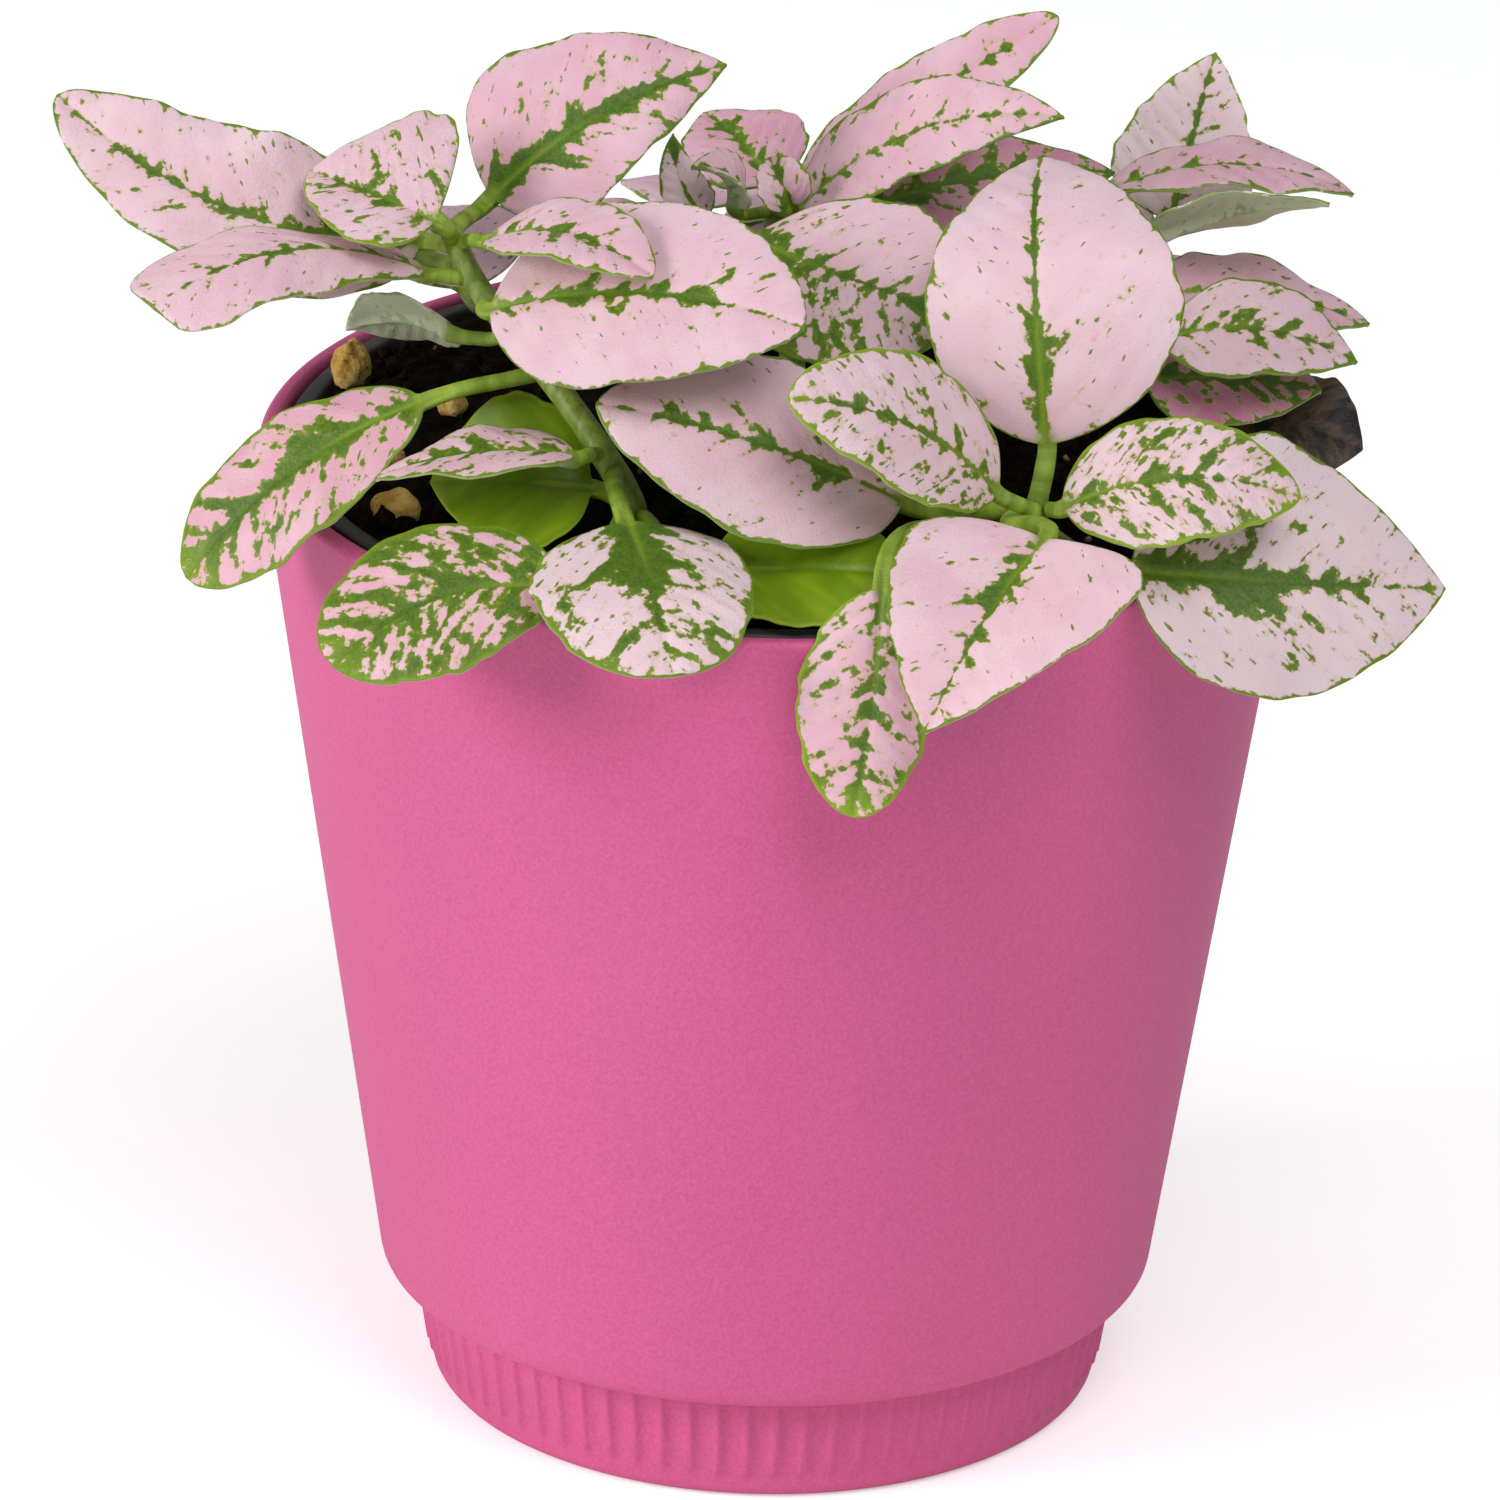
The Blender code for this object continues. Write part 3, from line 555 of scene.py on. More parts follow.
# %% Courses of the stems
# radius in mm in the soil and at the top, then the points of the axis
STEMS = {
    "a": (1.5, 1.1, [(-15, -34, 92), (-15, -34, 110.6), (-18.5, -33, 118),
                     (-25, -26, 124.5), (-31.5, -19, 130), (-35, -15.5, 136)]),
    "b": (1.5, 1.1, [(1, 2, 92), (1, 2, 112), (0, 4.5, 122), (-1.5, 6, 130)]),
    "c": (1.5, 1.2, [(22.5, -27, 92), (22.5, -27, 109.8), (25, -34, 112.2),
                     (26.5, -38.3, 114)]),
    "d": (1.5, 1.1, [(33.5, 9, 92), (33.5, 9, 111), (35.5, 8.5, 122), (35.5, 10, 128)]),
    "f": (1.5, 1.1, [(-12, 27, 92), (-12, 27, 112), (-11.5, 28, 120)]),
}

print("stems:", len(STEMS))

# %% [markdown]
# A stem's joints swell where leaves leave it, so the leaves' places are needed before the
# stems are made. They are those of the CAD model too. One row per leaf is easier to compare
# and change than a call for each.

# %% Where each leaf grows
# shoot, height where its stalk leaves the stem, blade foot, blade tip, direction that the
# upper side faces, and width; then, where they aren't the usual ones: arch as a part of the
# length, fold in degrees, edge wave in mm, sideways bow as a part of the length, waves along
# the blade, place of the widest line, how quickly the tip narrows, how much wider the left
# half is, and curl of the edges
Leaf = namedtuple("Leaf", "shoot height foot tip face width arch fold wave bow waves widest "
                          "point skew curl",
                  defaults=[0.1, 6, 0.4, 0.0, 2.0, 0.42, 0.9, 0.0, 0.1])

LEAVES = {
    "a1": ("a", 133.5, (-38, -10, 131.5), (-75.5, -9, 146.5), (-0.2, -0.7, 0.7),
           17, 0.06, 10, 0.9, -0.13, 2.5, 0.38, 0.55, 0.1),
    "a2": ("a", 131, (-37, -18, 131.5), (-64.5, -31.5, 132), (0, -0.15, 1),
           15.5, 0.12, -6, 0.5, 0.04, 2, 0.78, 0.2, 0.1),
    "a3": ("a", 134.2, (-36, -19.5, 137.6), (-49, -12.5, 140), (0.1, -0.5, 0.85),
           20, 0.06, 14, 0.4, -0.04, 2, 0.3, 0.6, 0.25),
    "a4": ("a", 135, (-30.5, -7, 135.5), (-6.5, 0, 148), (-0.35, -0.75, 0.6),
           20, 0.1, 10, 0.6, -0.03, 2, 0.28, 0.9, -0.16, 0.15),
    "a5": ("a", 133.5, (-30.5, -20.5, 136), (-13.5, -33, 137), (0.1, -0.35, 0.95),
           12, 0.12, 12, 0.3, -0.03, 2, 0.45, 0.65),
    "a6": ("a", 128, (-30, -26, 130.5), (2, -40, 134.5), (0, -0.55, 0.85),
           25, 0.05, 6, 0.4, -0.05, 2, 0.42, 0.65),
    "a7": ("a", 124, (-37, -28, 121), (-61, -31, 102), (-0.25, -0.55, 0.8),
           15.5, 0.08, 5, 0.5, 0.03, 2.5, 0.6, 0.5, -0.08, 0.12),
    "a8": ("a", 127, (-34, -15.5, 124), (-45.5, -8, 121), (0, 0.8, 0.6), 12, 0.1, 5, 0.3),
    "e1": ("a", 117.5, (-21, -37, 119), (-41.5, -36, 115.5), (0, 0.02, 1),
           14, 0.08, 8, 0.4, -0.03),
    "e2": ("a", 111.5, (-22, -50, 109.5), (-45, -54, 102), (-0.1, -0.5, 0.85),
           19, 0.06, 4, 0.3, 0.12, 2, 0.55, 0.45),
    "e3": ("a", 115.5, (-15.5, -43, 114), (-10.5, -64, 106), (0.05, -0.3, 0.9),
           23, 0.08, 4, 0.4, 0, 2, 0.45, 0.4, 0.06, 0.14),
    "b1": ("b", 128, (1.5, 4, 131), (28.5, -4, 144.5), (-0.2, -0.55, 0.8),
           12.5, 0.08, 10, 0.4, -0.08, 2.5),
    "b2": ("b", 126.5, (1.5, 12, 131), (28, 14, 149), (-0.3, -0.75, 0.6),
           9.5, 0.05, 8, 0.4, 0.02, 3, 0.5, 0.55),
    "b3": ("b", 125.5, (-3.5, -6, 131), (18.5, -26, 130.5), (0.05, -0.72, 0.7),
           21.5, 0.08, 4, 0.3, 0.05, 2, 0.58, 0.6, 0, 0.12),
    "b4": ("b", 125, (-1.5, 17, 128.5), (-9, 27, 132.5), (0, -0.3, 0.9), 15, 0.08, 6, 0.3),
    "b5": ("b", 124, (3.5, 8, 127.5), (34.5, 17, 130.5), (0, -0.4, 0.9),
           16, 0.08, 6, 0.4, 0, 2.5),
    "b6": ("b", 126.5, (-8.5, 3, 129.5), (-12, 6, 138), (0.1, -0.9, 0.3),
           5.5, 0.05, 10, 0.2, -0.1, 2, 0.25),
    "b7": ("b", 129.5, (-5, 1, 132), (-10, -1, 137), (0.3, -0.2, 0.9), 7, 0.25, 30, 0),
    "b8": ("b", 129.5, (0.5, 0, 132.5), (-2, 2, 137), (0, -0.8, 0.5), 7, 0.25, 35, 0),
    "c1": ("c", 113.4, (27, -35, 120.5), (26.2, -12, 143), (-0.1, -0.9, 0.42),
           26.5, 0.33, 4, 0.4, 0, 2.5, 0.34, 0.9, 0.14, 0.06),
    "c2": ("c", 113.9, (22, -39.6, 117), (0.5, -46.8, 129.5), (-0.1, -0.6, 0.8),
           16.5, 0.1, 10, 0.4, 0.05, 2, 0.45, 0.6, 0, 0.12),
    "c3": ("c", 113.3, (28.9, -40.6, 115.8), (53, -41, 117.5), (0.1, -0.6, 0.8),
           15.5, 0.12, 4, 0.3, -0.05, 2, 0.42, 0.65, 0, 0.12),
    "c4": ("c", 112.1, (26.8, -49, 115.6), (15, -70, 103), (-0.22, -0.5, 0.85),
           28.5, 0.06, 20, 0.3, 0, 2, 0.26, 0.9, -0.12),
    "c5": ("c", 111, (36, -42, 109.5), (68.5, -33, 104.5), (0, -0.75, 0.66),
           29, 0.04, 4, 0.4, 0.02, 3, 0.42, 0.9, -0.12),
    "c6": ("c", 111.4, (12.5, -38, 115), (-19, -38, 125), (0, -0.5, 0.85),
           23, 0.06, 4, 0.3, 0, 2, 0.45, 0.7),
    "c7": ("c", 110.3, (10.5, -53, 111.5), (8, -63, 90.5), (-0.1, -0.9, 0.4),
           14, 0.04, 5, 0.5, -0.02, 2.5, 0.5, 0.5, 0.1),
    "d1": ("d", 127, (40.5, 19, 124.5), (45, 27, 140.5), (-0.1, -0.85, 0.5),
           15.5, 0.04, 10, 0.3, 0, 2, 0.27, 0.9, 0, 0.05),
    "d2": ("d", 127.4, (33.5, 8, 132), (59.5, 12, 130.5), (0, -0.1, 1),
           11.5, 0.12, 8, 0.4, 0, 2.5, 0.6),
    "d3": ("d", 125.5, (38, 5.5, 127.8), (56.5, 0, 134), (0, 0.55, 0.8), 12, 0.06, 8, 0.3),
    "d4": ("d", 121, (38.5, 3, 122.5), (61.5, 8, 117.5), (0, -0.15, 1),
           17, 0.06, 8, 0.5, 0, 2.5),
    "d5": ("d", 118, (39.5, -10, 122.5), (59.5, -12, 121), (0, -0.35, 0.9), 15.5, 0.14, 8),
    "d6": ("d", 114, (38, -8, 117), (56, -10, 117), (0, -0.3, 0.95), 17, 0.05, 6, 0.3),
    "d7": ("d", 112, (47, -6, 113), (60.5, -10, 110.5), (0, -0.6, 0.8),
           13, 0.08, 6, 0.3, 0, 2, 0.62),
    "f1": ("a", 131.5, (-38, -6, 129), (-58, 8, 122), (-0.1, 0.1, 1), 18),
    "f2": ("a", 129, (-33, -6, 125), (-42, 22, 122), (-0.1, 0.2, 1), 19),
    "f3": ("f", 118.6, (-17.5, 26.5, 119), (-41, 37, 113), (-0.1, 0.3, 1), 20),
    "f4": ("f", 118.4, (-10, 34, 119), (-4, 61, 109), (0, 0.3, 1), 21),
    "f5": ("d", 122, (32, 18, 121), (25, 46, 114), (0, 0.3, 1), 20),
    "f6": ("d", 119, (42, 16, 117), (56, 33, 109), (0.2, 0.2, 1), 18),
    "f7": ("f", 119.3, (-6.5, 25, 121), (14, 30, 119), (0, 0.2, 1), 15, 0.1, 8, 0.3),
    "f8": ("f", 114.5, (-17, 35, 114), (-33, 58, 106.5), (-0.2, 0.4, 1), 19),
    "f9": ("f", 114, (-3, 34, 114), (14, 59, 107), (0.2, 0.4, 1), 19),
    "f10": ("d", 112.5, (34.5, 21, 113), (37, 51, 107.5), (0.1, 0.4, 1), 19),
}

# plain round seed leaves at the lowest node of shoot a, same columns
SEED_LEAVES = {
    "seed_leaf_1": ("a", 112, (-19.5, -30.5, 112.7), (-36, -30.5, 113), (-0.1, -0.62, 0.78),
                    19, 0.04, 8, 0, 0, 2, 0.5, 0.9, 0, -0.1),
    "seed_leaf_2": ("a", 111, (-7, -44.5, 109.4), (14, -45, 109.4), (0.05, -0.45, 0.85),
                    17, 0.04, 5, 0, 0, 2, 0.5, 0.9, 0, -0.05),
}
print("leaves on all shoots:", len(LEAVES) + len(SEED_LEAVES))

# %% [markdown]
# A stem's axis is asked for by height, because the stalks leave it at known heights. Between
# two points it is a cubic curve, whose slope at each point is the mean of the slopes on both
# sides, so that it never kinks.

# %% Course of a stem
def bezier(points, t):
    """A point on a cubic curve."""
    a, b, c, d = (np.asarray(p, float) for p in points)
    s = 1.0 - t
    return a * s**3 + 3 * b * s * s * t + 3 * c * s * t * t + d * t**3


def stem_axis(name, z):
    """Where the stem's axis is at a height; it stands upright up to its second point."""
    points = np.array(STEMS[name][2], float)
    heights = points[:, 2]
    z = min(max(z, heights[0]), heights[-1])
    k = min(int(np.searchsorted(heights, z, side="right")) - 1, len(points) - 2)
    slopes = np.diff(points, axis=0) / np.diff(heights)[:, None]
    slopes = np.vstack([slopes[:1], slopes[:1], (slopes[1:-1] + slopes[2:]) / 2, slopes[-1:]])
    step = heights[k + 1] - heights[k]
    curve = [points[k], points[k] + slopes[k] * step / 3,
             points[k + 1] - slopes[k + 1] * step / 3, points[k + 1]]
    spot = bezier(curve, (z - heights[k]) / step)
    return np.array([spot[0], spot[1], z])


def stem_radius(name, z):
    """How thick the stem is at a height."""
    low, high, points = STEMS[name]
    return float(np.interp(z, [POT_HEIGHT, points[-1][2]], [low, high]))


print("stem a at 120 mm stands at", np.round(stem_axis("a", 120.0), 1))

# %% [markdown]
# A stem is a tube that swells a little where a pair of leaves leaves it and ends in a small
# dome. A bevelled curve would do for an even tube, but rings of points let each joint
# swell. Its green is streaked along its length, as a juicy stem is.

# %% Stems
SIDES, RINGS, STEM_START = 24, 70, 100.0
SWELL, SWELL_REACH, TOP_FLAT = 0.07, 1.6, 0.02

stem_finish, start = new_finish("soft green stem")
streak = start.node("Mapping", None, {"Vector": start.place(), "Scale": (1.0, 1.0, 0.2)},
                    "Vector").grain(900, 3.0, 0.6)
surface(start, Base_Color=shades(streak, 0.35, 0.65, (104, 128, 34), (142, 162, 64)),
        Roughness=0.5, Normal=streak.bump(0.3, 0.0002))

all_leaves = [Leaf(*row) for row in [*LEAVES.values(), *SEED_LEAVES.values()]]
for name, (_low, _high, points) in STEMS.items():
    joints = [leaf.height for leaf in all_leaves if leaf.shoot == name]
    top = points[-1][2]
    rings, sideways = [], np.array([1.0, 0.0, 0.0])
    for z in np.linspace(STEM_START, top, RINGS):
        middle, radius = stem_axis(name, z), stem_radius(name, z)
        if z < top - 0.4:
            forward = unit(stem_axis(name, z + 0.3) - stem_axis(name, z - 0.3))
        sideways = unit(sideways - (sideways @ forward) * forward)
        other = np.cross(forward, sideways)
        swell = 1 + SWELL * max(math.exp(-((z - j) / SWELL_REACH) ** 2) for j in joints)
        dome = math.sqrt(max(1 - (1 - min((top - z) / radius, 1.0)) ** 2, TOP_FLAT))
        spoke = radius * swell * dome
        rings += [middle + (sideways * math.cos(a) + other * math.sin(a)) * spoke
                  for a in even_turn(SIDES)]
    faces = [face[::-1] for face in bands(RINGS, SIDES)]
    faces += [list(range(SIDES))[::-1], list(range((RINGS - 1) * SIDES, RINGS * SIDES))]
    tube = mesh_object("shoot_" + name, rings, faces, stem_finish)
    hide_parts("stem_" + name)
print("points of one stem:", len(rings))

# %% [markdown]
# ## The leaf finish
# On the real plant the flecks are cells that kept their green in a blade that is otherwise
# pink. They follow the veins: thick beside the midrib, streaked along the side veins, and
# thin at the edge, with jagged borders. So the mesh stores, at each point, how ready the
# blade is to be green there, and the shader adds noise to it and cuts it at a level. The
# noise is measured along and across the side veins, which streaks it the right way.

# %% Leaf finish
leaf_finish, start = new_finish("pink leaf with green flecks")
ready, vein_place = start.stored("leaf_green", "Fac"), start.stored("vein_place")
stored_tint, stored_side = start.stored("leaf_tint"), start.stored("leaf_side")
tone, lime, stalk = (stored_tint.part(axis) for axis in "XYZ")
under, age_and_shade, speckle = (stored_side.part(axis) for axis in "XYZ")

streaks, dots = vein_place.grain(0.62), vein_place.grain(1.25, 1.5)
place = start.place()
jags, blobs = place.grain(1200, 2.5, 0.6), place.grain(620, 1.0, 0.4)
cells, cloud = place.grain(3200, 1.0), place.grain(160)
level = ready + (streaks - 0.5) * 2.0 + (jags - 0.5) * 1.1 + (blobs - 0.5) * 1.1
green = level.slope(0.46, 0.56) | (dots + speckle + (jags - 0.5) * 0.3).slope(0.70, 0.75)
halo = level.slope(0.22, 0.52) * 0.5

pale, middle, deep = screen(238, 211, 217), screen(226, 173, 191), screen(202, 124, 156)
pink = (tone * 2.0).slope(0.0, 1.0).tint(pale, middle)
pink = (tone * 2.0 - 1.0).slope(0.0, 1.0).tint(pink, deep)
pink = (cloud.slope(0.35, 0.7) * 0.22).tint(pink, screen(250, 232, 234))
pink = halo.tint(pink, screen(198, 180, 136))
leafy = shades(jags * 0.5 + cells * 0.5, 0.3, 0.7, (62, 94, 2), (92, 126, 10))
leafy = level.slope(0.85, 0.5).tint(leafy, screen(112, 136, 20))
leafy = lime.tint(leafy, screen(146, 176, 24))
upper = green.tint(pink, leafy)
lower = (green * 0.55).tint(screen(204, 210, 178), screen(138, 164, 98))
skin = under.tint(upper, lower)
skin = stalk.tint(skin, shades(streaks, 0.3, 0.7, (112, 142, 26), (152, 176, 58)))
# d7's dark brown: an old leaf's colour, darkened with painted shade for a shadowed patch at
# the rim
brown_and_shade = shades(streaks * 0.6 + dots * 0.4, 0.4, 0.62, (22, 14, 9), (84, 60, 40))
skin = age_and_shade.tint(skin, brown_and_shade)
surface(start, Base_Color=skin, Roughness=0.5 + cells * 0.12 + under * 0.15,
        Subsurface_Weight=0.4, Subsurface_Radius=(1.0, 0.85, 0.75), Subsurface_Scale=0.0015,
        Normal=(cells + dots * 0.5 - green * 0.35).bump(0.35, 0.00025))
print("nodes in the leaf finish:", len(leaf_finish.node_tree.nodes))

# %% [markdown]
# ## How each leaf looks
# No two leaves of the real plant are alike: some are nearly all pink, some are crowded with
# green, and the young ones at the top are palest. So most leaves that are seen from the
# front have a row of values of their own, and all others share a plain one.

# %% Looks of the leaves
# tone from pale to deep pink, green along the midrib, flecks all over, more of them near the
# midrib, flecks along the side veins, fine specks, lime at the tip and edge; then, where
# they aren't the usual ones: green in the thin line of the midrib, green edge, patches as
# (place from foot to tip, place from left to right, mm along a side vein, mm across it,
# strength), how far the green along the midrib goes, and half its width in mm
Look = namedtuple("Look", "tone rib flecks near veins specks lime line edge patches reach "
                          "band", defaults=[0.3, 0.6, [], 0.9, 0.45])
PLAIN = (0.35, 0.35, 0.05, 0.25, 0.3, 0.02, 0.3, 0.3, 0.5, [], 0.8)
LOOKS = {
    "a1": (0.25, 0.15, 0.05, 0.4, 0.25, 0.01, 0.2, 0.4, 0.6, [(0.2, 0, 3, 1.6, 0.3),
            (0.5, -0.1, 3, 1.2, 0.3)]),
    "a2": (0.3, 0.15, 0, 0.35, 0.25, 0.01, 0.2, 0.4, 0.6, [(0.5, 0.1, 3, 1.2, 0.35)]),
    "a3": (0.3, 0.08, 0.18, 0.18, 0.25, 0.07, 0.6, 0.25),
    "a4": (0.45, 0.95, 0.04, 0.35, 0.45, 0, 0.2, 0.3, 0.6, [(0.3, 0.2, 4, 1.6, 0.5),
            (0.5, -0.2, 4, 1.4, 0.5), (0.6, 0.2, 4, 1.4, 0.5)]),
    "a5": (0.35, 0.2, 0.04, 0.35, 0.3, 0.02, 0.4),
    "a6": (0.3, 0.4, -0.04, 0.25, 0.2, 0, 0.2, 0.5, 0.6, [(0.25, 0, 3, 1.8, 0.5),
            (0.4, 0.1, 4, 1.2, 0.5), (0.65, 0, 3, 1.2, 0.5)], 0.8),
    "a7": (0.65, 0.45, 0.32, 0.3, 0.45, 0.03, 0.5, 0.3, 0.9, [(0.45, 0.2, 4, 2.2, 0.3),
            (0.9, 0, 5, 4, 0.3)], 0.95, 0.6),
    "a8": (0.2, 0.3, 0.05, 0.2, 0.2, 0.02, 0.3, 0.3, 0.4, [], 0.8),
    "e1": (0.35, 0.2, 0.2, 0.3, 0.4, 0.03, 0.3),
    "e2": (0.55, 0.08, 0.58, 0.08, 0.06, 0.03, 0.4, 0.3, 1, [(0.4, 0.3, 5, 5, 0.15)], 1),
    "e3": (0.15, 1.3, 0.1, 0.3, 0.35, 0.05, 0.4, 0.3, 0.9, [(0.3, 0, 2.2, 4, 0.5),
            (0.5, -0.6, 5, 3, 0.3), (0.75, -0.5, 5, 3, 0.35), (0.75, 0.5, 5, 2.5, 0.35),
            (0.45, 0.7, 5, 3, 0.35)], 0.5, 1.9),
    "b1": (0.4, 0.2, 0.06, 0.25, 0.3, 0.01, 0.2),
    "b2": (0.5, 0.2, 0.08, 0.25, 0.3, 0.01, 0.3),
    "b3": (0.3, 0.3, 0.04, 0.2, 0.3, 0.02, 0.3, 0.3, 1, [(0.1, 0.1, 4, 2.5, 0.6),
            (0.3, 0.55, 5, 6, 0.7), (0.6, 0.55, 5, 6, 0.7), (0.9, 0.3, 5, 3.5, 0.6)], 1, 0.6),
    "b4": (0.7, 0.3, 0.1, 0.25, 0.3, 0.02, 0.2),
    # b5's deep tone also paints the shade that it lies in, and b6's pale one the light on it
    "b5": (0.85, 0.3, 0.3, 0.3, 0.35, 0.02, 0),
    "b6": (0.15, 0.2, -0.02, 0.2, 0.2, 0, 0.3, 0.6),
    "c1": (0.25, 0.25, -0.08, 0.15, 0.2, 0, 0.3, 0.9, 0.9, [(0.1, 0, 2, 2.4, 0.7),
            (0.24, 0.15, 3, 1.2, 0.4), (0.3, -0.15, 3, 1.2, 0.4), (0.3, 0.6, 2, 1.2, 0.4)]),
    "c2": (0.22, 0.14, 0.25, 0.22, 0.3, 0.05, 0.7, 0.4, 0.8),
    "c3": (0.22, 0.08, 0.38, 0.16, 0.15, 0.09, 0.8, 0.25, 0.8),
    "c4": (0.3, 0.35, -0.04, 0.25, 0.25, 0, 0.3, 0.5, 0.8, [(0.25, 0, 3, 1.8, 0.5),
            (0.4, 0.1, 3, 1.4, 0.4), (0.15, 0.7, 5, 2, 0.25)], 0.65),
    # c5's palest tone also paints the light that falls on it
    "c5": (0.05, 0.8, 0.02, 0.3, 0.35, 0.02, 0.3, 0.4, 0.8, [(0.12, 0, 6, 2.4, 0.6),
            (0.28, 0, 6, 2.2, 0.6), (0.45, 0.2, 5, 1.8, 0.6), (0.5, -0.45, 2, 1.8, 0.6),
            (0.6, 0.5, 4, 1.6, 0.4)], 0.75, 0.8),
    "c6": (0.3, 0.4, -0.02, 0.22, 0.2, 0, 0.3, 0.5, 0.9, [(0.28, 0, 3, 1.6, 0.5),
            (0.5, 0.15, 4, 1.4, 0.5), (0.75, 0, 3, 1.4, 0.4)], 0.8),
    "c7": (0.4, 0.14, 0.32, 0.18, 0.18, 0.03, 0.8, 0.15, 0.9, [(0.97, 0, 6, 3, 0.5)], 1),
    "d1": (0.12, 0.2, 0.02, 0.22, 0.25, 0.01, 0.5, 0.6),
    "d2": (0.45, 0.2, 0.04, 0.2, 0.25, 0.02, 0.3),
    "d3": (0.1, 0.1, 0, 0.15, 0.2, 0.01, 0.2),
    "d4": (0.55, 0.35, 0.1, 0.3, 0.35, 0.02, 0.3, 0.3, 0.8),
    "d5": (0.25, 0.3, 0.12, 0.3, 0.35, 0.03, 0.3, 0.3, 0.8),
    # d6's deep tone also paints the shade that it lies in
    "d6": (0.95, 0.5, 0.25, 0.3, 0.4, 0.02, 0.1),
}
print("leaves with a look of their own:", len(LOOKS))

# %% [markdown]
# ## The leaf blades
# Each leaf is a thin blade on a stalk. It is lofted: cuts across the leaf are joined one to
# the next, from inside the stem, along the stalk, to the blade's tip. A place on it is
# given by u, from 0 at the foot to 1 at the tip, and v, from -1 to 1 across it. The outline
# and the course of the midrib are those of the CAD solid.

# %% Outline and course of a blade
def leaf_width(leaf, u):
    """Half width of a leaf in mm at each u, with no edge details."""
    near = np.clip(1 - (1 - np.minimum(u, leaf.widest) / leaf.widest) ** 2, 0, 1) ** 0.55
    t = np.clip((u - leaf.widest) / (1 - leaf.widest), 0, 1)
    far = np.clip(1 - t**1.7, 0, 1) ** leaf.point
    return leaf.width / 2 * np.where(u < leaf.widest, near, far)


def blade_frames(leaf, u):
    """Midrib point, direction, side and face of a leaf at each u from foot to tip."""
    foot, chord = np.array(leaf.foot, float), np.subtract(leaf.tip, leaf.foot).astype(float)
    length, along = np.linalg.norm(chord), unit(chord)
    face = np.array(leaf.face, float)
    face = unit(face - (face @ along) * along)
    lift = (face * leaf.arch + np.cross(along, face) * leaf.bow) * length
    u = np.asarray(u, float)[:, None]
    forward = unit(chord + lift * 4 * (1 - 2 * u))
    face = unit(face - (forward @ face)[:, None] * forward)
    return foot + chord * u + lift * 4 * u * (1 - u), forward, np.cross(forward, face), face


first_leaf = Leaf(*LEAVES["a1"])
print("leaf a1 is", round(2 * float(leaf_width(first_leaf, first_leaf.widest)), 1), "mm wide")

# %% [markdown]
# The stalk leaves its stem sideways and a little upward, then bends over until it points
# along the midrib. A cubic curve does that with two pulls, one at each end. The upward
# direction is handed down from ring to ring, starting at the blade, so nothing twists.

# %% Course of a stalk
STALK_RINGS, STALK_RISE, STALK_PULL = 14, 0.35, 0.35


def stalk_frames(leaf):
    """The same four things for the stalk, from inside the stem up to the blade."""
    axis = stem_axis(leaf.shoot, leaf.height)
    upward = unit(stem_axis(leaf.shoot, leaf.height + 0.5)
                  - stem_axis(leaf.shoot, leaf.height - 0.5))
    out = np.array(leaf.foot, float) - axis
    out = unit(unit(out - (out @ upward) * upward) + STALK_RISE * upward)
    root = axis + out * stem_radius(leaf.shoot, leaf.height) * 0.4
    foot, along, _side, up = (a[0] for a in blade_frames(leaf, [0.0]))
    pull = np.linalg.norm(foot - root) * STALK_PULL
    path = [root, root + out * pull, foot - along * pull, foot]
    rows = []
    for t in np.linspace(0, 1, STALK_RINGS, endpoint=False)[::-1]:
        forward = unit(bezier(path, t + 0.02) - bezier(path, max(t - 0.02, 0.0)))
        up = unit(up - (up @ forward) * forward)
        rows.insert(0, (bezier(path, t), forward, np.cross(forward, up), up))
    return [np.array(column) for column in zip(*rows)]


print("rings along a stalk:", len(stalk_frames(first_leaf)[0]))

# %% [markdown]
# ## The net of points of a blade
# The points lie closer at the midrib, the edges, the foot and the tip, where the shape
# changes fastest. Side veins leave the midrib at a slant and bend a little, so a point's way
# along the midrib, less its share of that slant, tells which vein it is next to. The relief
# and the flecks both follow those veins.

# %% Net of a blade
LEAF_COLUMNS, BLADE_ROWS = 45, 58
TIP_HALF, FOOT_HALF = 0.12, 0.95
VEIN_SLANT, VEIN_BEND = 0.62, 0.02
# from one side vein to the next: a part of the blade's length, and mm more
VEIN_SHARE, VEIN_MORE = 0.105, 0.3
COARSE_NIBBLE, FINE_NIBBLE = 0.13, 0.07
Net = namedtuple("Net", "seed length u U V reach across beside vein spacing rank")


def smooth(x, low, high):
    """0 up to low, 1 from high, with a soft slope."""
    t = np.clip((x - low) / (high - low), 0, 1)
    return t * t * (3 - 2 * t)


